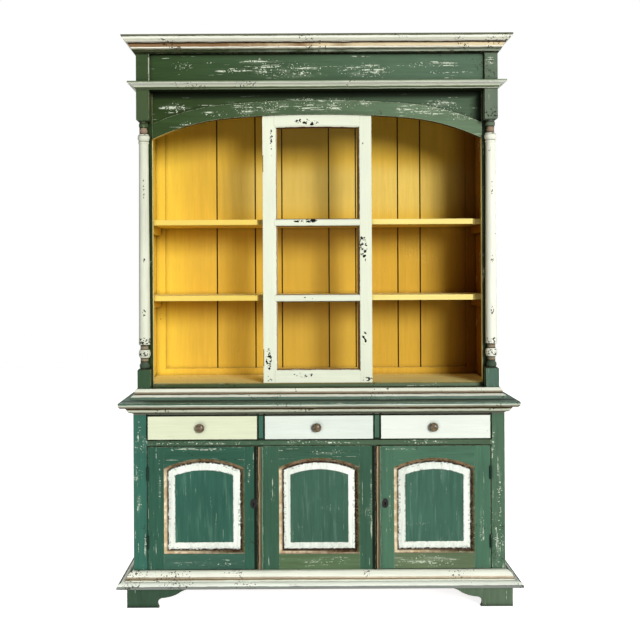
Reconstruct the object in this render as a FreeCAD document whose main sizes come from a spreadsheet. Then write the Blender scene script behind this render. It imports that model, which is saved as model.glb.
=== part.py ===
import FreeCAD, Part
import math
import os
import re
import Sketcher

# Step back cupboard: a deep lower case with drawers and panelled doors, and a
# shallower upper case with turned corner posts, an arched header, open shelves
# and one fixed glazed frame. Millimetres, +X to the right, front towards -Y,
# +Z up, origin on the floor at the middle of the overall width and depth.

os.makedirs("parts", exist_ok=True)
doc = FreeCAD.newDocument("step_back_cupboard")
sheet = doc.addObject("Spreadsheet::Sheet", "size")

DIMENSIONS = [
    # case
    ("overall_depth", 530),
    ("lower_half_width", 698),
    ("lower_height", 766),
    ("upper_half_width", 695),
    ("upper_depth", 390),
    ("board_thickness", 22),
    ("frame_thickness", 22),
    ("back_thickness", 15),
    # feet and base moulding
    ("foot_height", 78),
    ("foot_overhang", 23),
    ("foot_width", 120),
    ("foot_bracket_width", 248),
    ("base_height", 56),
    ("base_projection", 57),
    # lower face frame
    ("corner_stile_width", 53),
    ("top_rail_reveal", 9),
    ("drawer_opening_height", 90),
    ("drawer_rail_height", 26),
    ("divider_width", 26),
    ("middle_bay_half_width", 205),
    # counter
    ("counter_thickness", 20),
    ("counter_projection", 50),
    ("counter_nose_radius", 12),
    ("counter_groove_height", 3),
    ("counter_groove_projection", 26),
    ("counter_moulding_height", 20),
    ("counter_moulding_projection", 24),
    # drawers
    ("drawer_front_gap", 2),
    ("drawer_front_proud", 5),
    ("drawer_side_thickness", 12),
    ("drawer_side_height", 75),
    ("drawer_side_gap", 1),
    ("drawer_bottom_thickness", 6),
    ("drawer_back_gap", 35),
    ("drawer_running_gap", 0.3),
    ("runner_height", 22),
    ("runner_shoulder", 27),
    ("guide_height", 66),
    ("knob_radius", 16.5),
    ("knob_offset", 8),
    ("knob_length", 24),
    # doors and fixed centre panel
    ("door_edge_gap", 1.5),
    ("door_bottom_gap", 2),
    ("door_meeting_gap", 2),
    ("centre_half_width", 220),
    ("centre_setback", 0.4),
    ("door_stile_width", 59.25),
    ("centre_stile_width", 68.5),
    ("panel_bottom_rail", 59),
    ("panel_top_rail", 45.5),
    ("panel_rise", 35),
    ("panel_tongue", 8),
    ("panel_thickness", 7),
    ("panel_recess", 8),
    ("panel_raise", 6),
    ("panel_field_step", 1),
    ("panel_bevel_width", 26),
    ("bead_width", 12.5),
    ("bead_quirk", 3.5),
    ("bead_height", 7),
    ("astragal_width", 26),
    ("astragal_height", 10),
    # hinges and locks
    ("hinge_length", 49),
    ("hinge_barrel_radius", 4),
    ("hinge_pin_radius", 2),
    ("hinge_pin_clearance", 0.05),
    ("hinge_leaf_thickness", 0.65),
    ("hinge_leaf_width", 20),
    ("hinge_axis_gap", 0.2),
    ("hinge_upper_drop", 100.5),
    ("hinge_lower_rise", 102),
    ("lock_rise", 16),
    ("keyhole_inset", 25.5),
    ("escutcheon_width", 23),
    ("escutcheon_height", 36),
    ("escutcheon_thickness", 2),
    ("keyhole_radius", 3.2),
    ("lock_case_width", 44),
    ("lock_case_height", 60),
    ("lock_case_depth", 12),
    ("lock_case_inset", 2),
    ("bolt_width", 16),
    ("bolt_thickness", 5),
    ("bolt_length", 28),
    ("bolt_clearance", 0.3),
    ("keeper_width", 16),
    ("keeper_wall", 4),
    # lower interior
    ("lower_shelf_rise", 222),
    ("lower_shelf_thickness", 18),
    ("lower_shelf_setback", 60),
    ("cleat_width", 20),
    ("cleat_height", 30),
    # upper case
    ("upper_base_height", 40),
    ("upper_base_projection", 24),
    ("post_width", 50),
    ("post_height", 1148),
    ("plinth_block_height", 75),
    ("capital_block_height", 118),
    ("block_bevel", 4),
    ("column_radius", 23),
    ("upper_side_inset", 5),
    ("upper_side_thickness", 20),
    ("upper_stile_width", 50),
    ("upper_rail_height", 15),
    ("arch_crown_drop", 89.5),
    ("arch_rise", 95),
    ("arch_middle_half_width", 338),
    ("arch_middle_rise", 13.5),
    ("arch_band_height", 55),
    ("arch_band_proud", 5),
    ("mid_moulding_height", 30),
    ("mid_moulding_projection", 30),
    ("frieze_height", 108),
    ("frieze_recess", 12),
    ("frieze_thickness", 20),
    ("cornice_height", 65),
    ("cornice_projection", 50),
    ("top_thickness", 18),
    # shelves
    ("shelf_thickness", 21),
    ("shelf_setback", 8),
    ("shelf_one_rise", 319),
    ("shelf_two_rise", 616),
    ("shelf_nosing_depth", 26),
    ("shelf_nosing_length", 405),
    ("shelf_nosing_gap", 30),
    ("batten_height", 28),
    ("batten_thickness", 12),
    ("corner_strip_width", 38),
    # joints between the boards of the upper back, from the middle
    ("back_joint_1", -415),
    ("back_joint_2", -254),
    ("back_joint_3", -142),
    ("back_joint_4", 55),
    ("back_joint_5", 168),
    ("back_joint_6", 345),
    ("back_joint_7", 439),
    ("back_joint_gap", 2.5),
    # fixed glazed frame
    ("glazed_half_width", 212),
    ("sash_stile_width", 56.5),
    ("sash_head_height", 53),
    ("sash_bottom_height", 55),
    ("sash_bevel", 11),
    ("sash_bevel_depth", 8),
    ("sash_rebate", 8),
    ("sash_rebate_depth", 11),
    ("sash_bar_width", 21),
    ("sash_bar_bevel", 5),
    ("sash_mortise_length", 66),
    ("sash_mortise_depth", 2.5),
    ("sash_mortise_low", 65),
    ("sash_mortise_high", 820),
    ("bar_one_rise", 329),
    ("bar_two_rise", 623),
    ("glass_thickness", 3),
]
LOWER_BACK_BOARDS = 7

ALIASES = set()
for row, (alias, value) in enumerate(DIMENSIONS, start=1):
    sheet.set("A%d" % row, alias)
    sheet.set("B%d" % row, str(value))
    sheet.setAlias("B%d" % row, alias)
    ALIASES.add(alias)
doc.recompute()


# ---------------------------------------------------------------- helpers

def sized(text):
    """Turn dimension names in an expression into references to the sheet."""
    def prefixed(word):
        return "size." + word.group(0) if word.group(0) in ALIASES else word.group(0)

    return re.sub(r"[a-z_][a-z_0-9]*", prefixed, str(text))


def value_of(text):
    return float(sheet.evalExpression(sized(text)))


def bind(obj, prop, text):
    obj.setExpression(prop, sized(text))


def minus(text):
    return "(-(%s))" % text


def plus(*terms):
    return "(" + " + ".join("(%s)" % term for term in terms) + ")"


def less(first, second):
    return "((%s) - (%s))" % (first, second)


def place(obj, x="0", y="0", z="0"):
    for axis, text in zip("xyz", (x, y, z)):
        if str(text) != "0":
            bind(obj, "Placement.Base." + axis, text)


def board(label, x, y, z):
    """A plain board between two planes on each axis."""
    box = doc.addObject("Part::Box", label)
    for side, (low, high) in zip(("Length", "Width", "Height"), (x, y, z)):
        bind(box, side, less(high, low))
    place(box, x[0], y[0], z[0])
    return box


def lapped_board(label, x, z, gap):
    """A back board with a rebated lip behind the open joint on its right."""
    face = board(label + "_face", x, (inner_back, back), z)
    if gap == "0":
        return face
    middle = "((%s + %s) / 2)" % (inner_back, back)
    return fuse(label, [face, board(label + "_lip", (x[1], plus(x[1], gap)), (middle, back), z)])


def cylinder(label, radius, height, x, y, z):
    rod = doc.addObject("Part::Cylinder", label)
    bind(rod, "Radius", radius)
    bind(rod, "Height", height)
    place(rod, x, y, z)
    return rod


def cut(label, base, tool):
    result = doc.addObject("Part::Cut", label)
    result.Base = base
    result.Tool = tool
    return result


def fuse(label, pieces):
    result = doc.addObject("Part::MultiFuse", label)
    result.Shapes = pieces
    return result


def group(label, pieces):
    result = doc.addObject("Part::Compound", label)
    result.Links = pieces
    return result


def mirrored(label, source):
    """The same piece on the other side of the middle of the cupboard."""
    result = doc.addObject("Part::Mirroring", label)
    result.Source = source
    result.Base = (0, 0, 0)
    result.Normal = (1, 0, 0)
    return result


def new_body(label):
    return doc.addObject("PartDesign::Body", label)


def origin_plane(body, role):
    return next(item for item in body.Origin.OriginFeatures if item.Role == role)


def sketch(body, label, role, offset, loops):
    """A constrained sketch on one of the body's origin planes.

    Each loop is a list of (across, up[, bend]) points. A bend belongs to the edge
    that leaves the point: a number is the tangent of a quarter of its angle, and
    a pair is (radius, side); positive bends to the right of the way of travel.
    """
    drawing = body.newObject("Sketcher::SketchObject", label)
    drawing.AttachmentSupport = [(origin_plane(body, role), "")]
    drawing.MapMode = "FlatFace"
    if str(offset) != "0":
        bind(drawing, "AttachmentOffset.Base.z", offset)
    for loop in loops:
        add_loop(drawing, loop)
    return drawing


def add_loop(drawing, loop):
    first = drawing.GeometryCount
    count = len(loop)
    corners = [FreeCAD.Vector(value_of(point[0]), value_of(point[1]), 0) for point in loop]
    starts = []
    for index, point in enumerate(loop):
        here = corners[index]
        there = corners[(index + 1) % count]
        if len(point) == 2:
            drawing.addGeometry(Part.LineSegment(here, there), False)
            starts.append(1)
            continue
        chord = (there - here).Length
        if isinstance(point[2], tuple):
            radius = value_of(point[2][0])
            rise = point[2][1] * (radius - math.sqrt(radius ** 2 - chord ** 2 / 4))
        else:
            rise = point[2] * chord / 2
        right = FreeCAD.Vector(there.y - here.y, here.x - there.x, 0).normalize()
        crown = (here + there) * 0.5 + right * rise
        drawing.addGeometry(Part.Arc(here, crown, there), False)
        arc_start = drawing.getPoint(first + index, 1)
        starts.append(1 if (arc_start - here).Length < (arc_start - there).Length else 2)
    for index in range(count):
        after = (index + 1) % count
        drawing.addConstraint(Sketcher.Constraint(
            "Coincident", first + index, 3 - starts[index], first + after, starts[after]))
    for index, point in enumerate(loop):
        for kind, number, text in (
            ("DistanceX", corners[index].x, point[0]),
            ("DistanceY", corners[index].y, point[1]),
        ):
            held = Sketcher.Constraint(kind, -1, 1, first + index, starts[index], number)
            added = drawing.addConstraint(held)
            bind(drawing, "Constraints[%d]" % added, text)
        if len(point) == 3:
            add_radius(drawing, first + index, point, loop[(index + 1) % count])


def add_radius(drawing, edge, point, after):
    if isinstance(point[2], tuple):
        text = point[2][0]
    else:
        bend = abs(point[2])
        across = less(after[0], point[0])
        up = less(after[1], point[1])
        text = "sqrt(%s * %s + %s * %s) * %r" % (across, across, up, up, (1 + bend * bend) / (4 * bend))
    added = drawing.addConstraint(Sketcher.Constraint("Radius", edge, drawing.Geometry[edge].Radius))
    bind(drawing, "Constraints[%d]" % added, text)


def pad(body, drawing, length, symmetric=False):
    feature = body.newObject("PartDesign::Pad", drawing.Label + "_pad")
    feature.Profile = drawing
    bind(feature, "Length", length)
    if symmetric:
        feature.SideType = "Symmetric"
    drawing.Visibility = False
    return feature


def pocket(body, drawing, length):
    feature = body.newObject("PartDesign::Pocket", drawing.Label + "_pocket")
    feature.Profile = drawing
    bind(feature, "Length", length)
    return feature


def plate(label, outline, front, back):
    """A flat piece with a drawn outline, seen from the front, between two depths."""
    body = new_body(label)
    drawing = sketch(body, label + "_outline", "XZ_Plane", minus(back), [outline])
    pad(body, drawing, less(back, front))
    return body


def turned(label, profile, x, y, z, role="XZ_Plane"):
    """A turned piece: half of its section, swung about its own axis."""
    body = new_body(label)
    drawing = sketch(body, label + "_section", role, "0", [profile])
    feature = body.newObject("PartDesign::Revolution", label + "_turning")
    feature.Profile = drawing
    feature.ReferenceAxis = (drawing, ["V_Axis"])
    feature.Angle = 360
    place(body, x, y, z)
    return body


def moulding(label, profile, projection, height, bottom, half_width, front, inward):
    """A moulding round the front and both sides, mitred at the two front corners.

    The profile runs up the outer face as fractions of the projection and the
    height; its back is `inward` behind the face that it is planted on.
    """
    def section(face):
        points = []
        for step in profile:
            across = less(face, "%r * %s" % (step[0], projection))
            up = plus(bottom, "%r * %s" % (step[1], height))
            points.append((across, up) + tuple(-bend for bend in step[2:]))
        points.append((plus(face, inward), plus(bottom, height)))
        points.append((plus(face, inward), bottom))
        return points

    reach = plus(projection, "10")
    inner = plus(inward, "10")
    top = plus(bottom, height, "5")
    side = minus(half_width)
    near = (plus(side, inner), plus(front, inner))
    far = (less(side, reach), less(front, reach))

    front_run = new_body(label + "_front")
    pad(front_run, sketch(front_run, label + "_front_section", "YZ_Plane", "0", [section(front)]),
        "2 * %s" % plus(half_width, projection), symmetric=True)
    left_end = [near, (far[0], near[1]), far]
    right_end = [(minus(across), up) for across, up in left_end]
    pocket(front_run, sketch(front_run, label + "_front_mitres", "XY_Plane", top, [left_end, right_end]),
           plus(height, "10"))

    left_run = new_body(label + "_left")
    pad(left_run, sketch(left_run, label + "_left_section", "XZ_Plane", minus(back), [section(side)]),
        less(back, less(front, projection)))
    pocket(left_run, sketch(left_run, label + "_left_mitre", "XY_Plane", top,
                            [[near, far, (near[0], far[1])]]), plus(height, "10"))
    return group(label, [front_run, left_run, mirrored(label + "_right", left_run)])


# ---------------------------------------------------------------- main planes

back = "(overall_depth / 2)"
inner_back = less(back, "back_thickness")
low_front = "(base_projection - overall_depth / 2)"
low_frame_back = plus(low_front, "frame_thickness")
low_side = "(lower_half_width - board_thickness)"
low_opening = "(lower_half_width - corner_stile_width)"
base_top = "(foot_height + base_height)"
counter_bottom = "(lower_height - counter_thickness)"
case_top = less(counter_bottom, "counter_groove_height")
counter_moulding_bottom = less(case_top, "counter_moulding_height")
drawer_top = less(counter_moulding_bottom, "top_rail_reveal")
drawer_floor = less(drawer_top, "drawer_opening_height")
door_head = less(drawer_floor, "drawer_rail_height")

up_front = less(back, "upper_depth")
up_floor = "(lower_height + upper_base_height)"
post_back = plus(up_front, "post_width")
up_frame_back = plus(post_back, "frame_thickness")
post_top = plus(up_floor, "post_height")
frieze_bottom = plus(post_top, "mid_moulding_height")
frieze_top = plus(frieze_bottom, "frieze_height")
side_outer = "(upper_half_width - upper_side_inset)"
side_inner = less(side_outer, "upper_side_thickness")
up_opening = less(side_outer, "upper_stile_width")
shelf_floor = plus(up_floor, "upper_rail_height")

nodes = []


# ---------------------------------------------------------------- feet

def bracket_outline(edge, sign):
    """A bracket foot seen square on: a straight outer edge and a scrolled inner edge."""
    steps = [
        ("0", "0"),
        ("foot_width", "0", -0.25 * sign),
        ("0.96 * foot_width", "0.27 * foot_height", -0.30 * sign),
        ("1.10 * foot_width", "0.46 * foot_height", 0.10 * sign),
        ("0.45 * foot_width + 0.55 * foot_bracket_width", "0.66 * foot_height", -0.18 * sign),
        ("foot_bracket_width", "0.90 * foot_height"),
        ("foot_bracket_width", "foot_height"),
        ("0", "foot_height"),
    ]
    return [(plus(edge, across) if sign > 0 else less(edge, across), *rest) for across, *rest in steps]


foot_front = less(low_front, "foot_overhang")
foot_side = "(lower_half_width + foot_overhang)"
foot_inner_front = plus(foot_front, "board_thickness")
foot_inner_side = less(foot_side, "board_thickness")

feet = []
front_bracket = new_body("foot_front_bracket")
pad(front_bracket, sketch(front_bracket, "foot_front_outline", "XZ_Plane", minus(foot_inner_front),
                          [bracket_outline(minus(foot_side), 1)]), "board_thickness")
pocket(front_bracket, sketch(front_bracket, "foot_front_mitre", "XY_Plane", "foot_height + 5", [[
    (minus(foot_side), foot_front),
    (minus(foot_inner_side), foot_inner_front),
    (minus(foot_side), plus(foot_inner_front, "5")),
    (less(minus(foot_side), "5"), foot_front),
]]), "foot_height + 10")
side_bracket = new_body("foot_side_bracket")
pad(side_bracket, sketch(side_bracket, "foot_side_outline", "YZ_Plane", minus(foot_side),
                         [bracket_outline(foot_front, 1)]), "board_thickness")
pocket(side_bracket, sketch(side_bracket, "foot_side_mitre", "XY_Plane", "foot_height + 5", [[
    (minus(foot_side), foot_front),
    (minus(foot_inner_side), foot_inner_front),
    (plus(minus(foot_inner_side), "5"), foot_front),
    (minus(foot_side), less(foot_front, "5")),
]]), "foot_height + 10")
rear_bracket = new_body("foot_rear_bracket")
pad(rear_bracket, sketch(rear_bracket, "foot_rear_outline", "YZ_Plane", minus(foot_side),
                         [bracket_outline(back, -1)]), "board_thickness")
block_x = (minus(foot_inner_side), plus(minus(foot_inner_side), "foot_width / 2"))
block_z = ("0", "foot_height")
front_block = board("foot_front_block", block_x,
                    (foot_inner_front, plus(foot_inner_front, "foot_width / 2")), block_z)
rear_block = board("foot_rear_block", block_x, (less(back, "foot_width / 2"), back), block_z)
left_feet = [front_bracket, side_bracket, front_block, rear_bracket, rear_block]
nodes.append(group("feet", left_feet + [mirrored(foot.Label + "_right", foot) for foot in left_feet]))


# ---------------------------------------------------------------- lower case

nodes.append(moulding(
    "base_moulding",
    [(1.0, 0.0), (1.0, 0.11, 0.36), (0.62, 0.38), (0.54, 0.38, -0.22),
     (0.47, 0.60), (0.44, 0.60, 0.25), (0.07, 1.0)],
    "base_projection", "base_height", "foot_height", "lower_half_width", low_front, "0"))

side = board("lower_side_left", (minus("lower_half_width"), minus(low_side)), (low_frame_back, inner_back),
             ("foot_height", case_top))
nodes += [side, mirrored("lower_side_right", side)]

back_boards = []
step = "2 * lower_half_width / %d" % LOWER_BACK_BOARDS
for number in range(LOWER_BACK_BOARDS):
    left = "(%d * %s - lower_half_width)" % (number, step)
    gap = "back_joint_gap" if number < LOWER_BACK_BOARDS - 1 else "0"
    right = less("(%d * %s - lower_half_width)" % (number + 1, step), gap)
    name = "lower_back_%d" % (number + 1)
    back_boards.append(lapped_board(name, (left, right), ("foot_height", case_top), gap))
nodes.append(group("lower_back_boards", back_boards))

nodes.append(board("lower_bottom_board", (minus(low_side), low_side), (low_frame_back, inner_back),
                   (less(base_top, "board_thickness"), base_top)))


def frame_board(label, x, z):
    return board(label, x, (low_front, low_frame_back), z)


frame_stile = frame_board("lower_frame_stile_left", (minus("lower_half_width"), minus(low_opening)),
                          ("foot_height", case_top))
divider = frame_board("drawer_divider_left",
                      (minus("middle_bay_half_width + divider_width"), minus("middle_bay_half_width")),
                      (drawer_floor, drawer_top))
across = (minus(low_opening), low_opening)
nodes.append(group("lower_face_frame", [
    frame_stile,
    mirrored("lower_frame_stile_right", frame_stile),
    frame_board("lower_bottom_rail", across, ("foot_height", base_top)),
    frame_board("drawer_rail", across, (door_head, drawer_floor)),
    frame_board("lower_top_rail", across, (drawer_top, case_top)),
    divider,
    mirrored("drawer_divider_right", divider),
]))

# drawer runners under both sides of each drawer, with a guide strip on each runner
divider_outer = "(middle_bay_half_width + divider_width)"
run = (low_frame_back, inner_back)
runner_z = (less(drawer_floor, "runner_height"), drawer_floor)
guide_z = (drawer_floor, plus(drawer_floor, "guide_height"))
runners = [
    board("runner_outer", (minus(low_side), minus(less(low_opening, "runner_shoulder"))), run, runner_z),
    board("runner_inner", (minus(plus(divider_outer, "runner_shoulder")),
                           minus("middle_bay_half_width - runner_shoulder")), run, runner_z),
    board("guide_outer", (minus(low_side), minus(low_opening)), run, guide_z),
    board("guide_inner", (minus(divider_outer), minus("middle_bay_half_width")), run, guide_z),
]
right_runners = [mirrored(piece.Label + "_right", piece) for piece in runners]
nodes.append(group("drawer_runners", runners + right_runners))

lower_shelf = plus(base_top, "lower_shelf_rise")
shelf_y = (plus(low_front, "lower_shelf_setback"), inner_back)
cleat = board("lower_cleat_left", (minus(low_side), less("cleat_width", low_side)), shelf_y,
              (less(lower_shelf, "cleat_height"), lower_shelf))
nodes.append(group("lower_shelf", [
    board("lower_shelf_board", (minus(low_side), low_side), shelf_y,
          (lower_shelf, plus(lower_shelf, "lower_shelf_thickness"))),
    cleat,
    mirrored("lower_cleat_right", cleat),
]))

# counter: a slab with a rounded lower edge over a thinner set-back strip
counter_side = "(lower_half_width + counter_projection)"
counter_front = less(low_front, "counter_projection")
nose = "counter_nose_radius"
counter = new_body("counter_slab")
front_drop = sketch(counter, "counter_outline", "XZ_Plane", minus(back), [[
    (minus(less(counter_side, nose)), counter_bottom),
    (less(counter_side, nose), counter_bottom, 0.4142),
    (counter_side, plus(counter_bottom, nose)),
    (counter_side, "lower_height"),
    (minus(counter_side), "lower_height"),
    (minus(counter_side), plus(counter_bottom, nose), 0.4142),
]])
pad(counter, front_drop, less(back, counter_front))
pocket_nose = sketch(counter, "counter_nose", "YZ_Plane", plus(counter_side, "5"), [[
    (less(counter_front, "5"), less(counter_bottom, "5")),
    (plus(counter_front, nose), less(counter_bottom, "5")),
    (plus(counter_front, nose), counter_bottom, -0.4142),
    (counter_front, plus(counter_bottom, nose)),
    (less(counter_front, "5"), plus(counter_bottom, nose)),
]])
pocket(counter, pocket_nose, "2 * %s" % plus(counter_side, "5"))
groove_side = "(lower_half_width + counter_groove_projection)"
nodes.append(group("counter_top", [
    counter,
    board("counter_groove_strip", (minus(groove_side), groove_side),
          (less(low_front, "counter_groove_projection"), back), (case_top, counter_bottom)),
]))

nodes.append(moulding(
    "counter_moulding",
    [(0.17, 0.0), (0.17, 0.10, 0.40), (0.92, 0.84), (1.0, 0.84), (1.0, 1.0)],
    "counter_moulding_projection", "counter_moulding_height", counter_moulding_bottom,
    "lower_half_width", low_front, "0"))


# ---------------------------------------------------------------- drawers

def drawer(name, left, right):
    """One drawer: a flat proud front, a box behind it and a turned knob."""
    front = less(low_front, "drawer_front_proud")
    front_y = (front, plus(front, "frame_thickness"))
    box_y = (front_y[1], less(inner_back, "drawer_back_gap"))
    floor = plus(drawer_floor, "drawer_running_gap")
    box_z = (floor, plus(floor, "drawer_side_height"))
    front_x = (plus(left, "drawer_front_gap"), less(right, "drawer_front_gap"))
    front_z = (plus(drawer_floor, "drawer_front_gap / 2"), less(drawer_top, "drawer_front_gap / 2"))
    face = board("drawer_%s_front" % name, front_x, front_y, front_z)
    outer = (plus(front_x[0], "drawer_side_gap"), less(front_x[1], "drawer_side_gap"))
    inner = (plus(outer[0], "drawer_side_thickness"), less(outer[1], "drawer_side_thickness"))
    base = plus(floor, "drawer_bottom_thickness")
    box = group("drawer_%s_box" % name, [
        board("drawer_%s_side_left" % name, (outer[0], inner[0]), box_y, box_z),
        board("drawer_%s_side_right" % name, (inner[1], outer[1]), box_y, box_z),
        board("drawer_%s_back" % name, inner, (less(box_y[1], "drawer_side_thickness"), box_y[1]),
              (plus(base, "drawer_bottom_thickness"), box_z[1])),
        board("drawer_%s_bottom" % name, inner, box_y, (base, plus(base, "drawer_bottom_thickness"))),
    ])
    knob = turned("drawer_%s_knob" % name, [
        ("0", "-knob_length", 0.16),
        ("0.72 * knob_radius", "-0.90 * knob_length", 0.30),
        ("knob_radius", "-0.62 * knob_length", 0.26),
        ("0.80 * knob_radius", "-0.38 * knob_length"),
        ("0.45 * knob_radius", "-0.30 * knob_length", -0.25),
        ("0.52 * knob_radius", "-0.08 * knob_length"),
        ("0.70 * knob_radius", "-0.08 * knob_length"),
        ("0.70 * knob_radius", "0"),
        ("0", "0"),
    ], "(%s + %s) / 2 - knob_offset" % (left, right), front,
        "(%s + %s) / 2" % (drawer_floor, drawer_top), role="XY_Plane")
    return [face, box, knob]


nodes += drawer("left", minus(low_opening), minus(divider_outer))
nodes += drawer("middle", minus("middle_bay_half_width"), "middle_bay_half_width")
nodes += drawer("right", divider_outer, low_opening)


# ---------------------------------------------------------------- panelled doors

def arched_outline(half, bottom, top, inset):
    """An arched opening of a given half width, drawn in by an inset on every side."""
    arch = arch_radius(half)
    inner = less(half, inset)
    radius = less(arch, inset)
    centre = less(less(top, "panel_top_rail"), arch)
    spring = "(%s + sqrt(%s * %s - %s * %s))" % (centre, radius, radius, inner, inner)
    low = plus(bottom, "panel_bottom_rail", inset)
    return [(minus(inner), low), (inner, low), (inner, spring, (radius, 1)), (minus(inner), spring)]


def arch_radius(half):
    return "((%s * %s + panel_rise^2) / (2 * panel_rise))" % (half, half)


def panelled_leaf(name, centre, half_width, stile_width, bottom, top, face):
    """Stiles and rails grooved round an arched raised panel, with a bead round the opening."""
    frame_back = plus(low_front, "frame_thickness")
    panel_face = plus(face, "panel_recess")
    panel_back = plus(panel_face, "panel_thickness")
    opening = less(half_width, stile_width)

    def drawing(body, part_name, depth, *insets):
        outlines = [arched_outline(opening, bottom, top, inset) for inset in insets]
        return sketch(body, "%s_%s" % (name, part_name), "XZ_Plane", minus(depth), outlines)

    panel = new_body("%s_panel" % name)
    pad(panel, drawing(panel, "panel_blank", panel_back, "(-panel_tongue)"), "panel_thickness")
    bevel_foot = "(bead_width + bead_quirk)"
    bevel_head = plus(bevel_foot, "panel_bevel_width")
    raised_face = less(panel_face, "panel_raise")
    raised = panel.newObject("PartDesign::AdditiveLoft", "%s_bevel" % name)
    raised.Profile = drawing(panel, "bevel_foot", panel_face, bevel_foot)
    raised.Sections = [drawing(panel, "bevel_head", raised_face, bevel_head)]
    raised.Ruled = True
    field = drawing(panel, "field_outline", raised_face, plus(bevel_head, "panel_field_step"))
    pad(panel, field, "panel_field_step")

    low_edge = plus(bottom, "panel_bottom_rail")
    spring = less(top, "panel_top_rail + panel_rise")
    pieces = {
        "stile_left": [(minus(half_width), bottom), (minus(opening), bottom), (minus(opening), top),
                       (minus(half_width), top)],
        "stile_right": [(opening, bottom), (half_width, bottom), (half_width, top), (opening, top)],
        "rail_bottom": [(minus(opening), bottom), (opening, bottom), (opening, low_edge),
                        (minus(opening), low_edge)],
        "rail_top": [(minus(opening), spring, (arch_radius(opening), -1)), (opening, spring),
                     (opening, top), (minus(opening), top)],
    }
    members = []
    for part_name, corners in pieces.items():
        member = plate("%s_%s" % (name, part_name), corners, face, frame_back)
        place(member, centre)
        members.append(cut(member.Label + "_grooved", member, panel))

    # the bead steps down in three rounds from the frame to the panel
    bead = new_body("%s_bead" % name)
    depth = panel_face
    for part_name, inset, rise in (
        ("foot", "1.0", "0.45"),
        ("shoulder", "0.72", "0.35"),
        ("crest", "0.40", "0.20"),
    ):
        ring = drawing(bead, "bead_" + part_name, depth, "0", "(%s * bead_width)" % inset)
        pad(bead, ring, "%s * bead_height" % rise)
        depth = less(depth, "%s * bead_height" % rise)
    place(bead, centre)
    place(panel, centre)
    return members, bead, panel


door_bottom = plus(base_top, "door_bottom_gap")
door_top = less(door_head, "door_edge_gap")
door_outer = less(low_opening, "door_edge_gap")
door_inner = "(centre_half_width + door_meeting_gap)"
door_centre = "((%s + %s) / 2)" % (door_outer, door_inner)
door_half = "((%s - %s) / 2)" % (door_outer, door_inner)

members, bead, panel = panelled_leaf("door_left", minus(door_centre), door_half, "door_stile_width",
                                     door_bottom, door_top, low_front)

# keyhole through the closing stile
key_x = minus(plus(door_inner, "keyhole_inset"))
lock_z = "((%s + %s) / 2 + lock_rise)" % (door_bottom, door_top)
hinge_axis_x = minus("(%s - door_edge_gap / 2)" % low_opening)
hinge_axis_y = less(low_front, plus("hinge_barrel_radius", "hinge_axis_gap"))
keyhole = plate("keyhole_tool", [
    (less(key_x, "0.45 * keyhole_radius"), less(lock_z, "3.2 * keyhole_radius")),
    (plus(key_x, "0.45 * keyhole_radius"), less(lock_z, "3.2 * keyhole_radius")),
    (plus(key_x, "0.45 * keyhole_radius"), less(lock_z, "0.893 * keyhole_radius"), 4.2),
    (less(key_x, "0.45 * keyhole_radius"), less(lock_z, "0.893 * keyhole_radius")),
], less(low_front, "20"), plus(low_frame_back, "1"))
members[1] = cut("door_left_stile_right_drilled", members[1], keyhole)
door_frame = group("door_left_frame", members + [bead])
nodes += [door_frame, panel]
door_panel = panel

# half-round astragal on the closing edge, lapping over the fixed centre panel
astragal_left = minus(plus(door_inner, "astragal_width / 2"))
astragal_right = plus(astragal_left, "astragal_width")
astragal = new_body("door_left_astragal")
astragal_section = sketch(astragal, "astragal_section", "XY_Plane", door_bottom, [[
    (astragal_left, low_front),
    (astragal_left, less(low_front, "0.2 * astragal_height")),
    (plus(astragal_left, "0.1 * astragal_width"), less(low_front, "0.2 * astragal_height"), 0.62),
    (less(astragal_right, "0.1 * astragal_width"), less(low_front, "0.2 * astragal_height")),
    (astragal_right, less(low_front, "0.2 * astragal_height")),
    (astragal_right, low_front),
]])
pad(astragal, astragal_section, less(door_top, door_bottom))
nodes.append(astragal)

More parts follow.
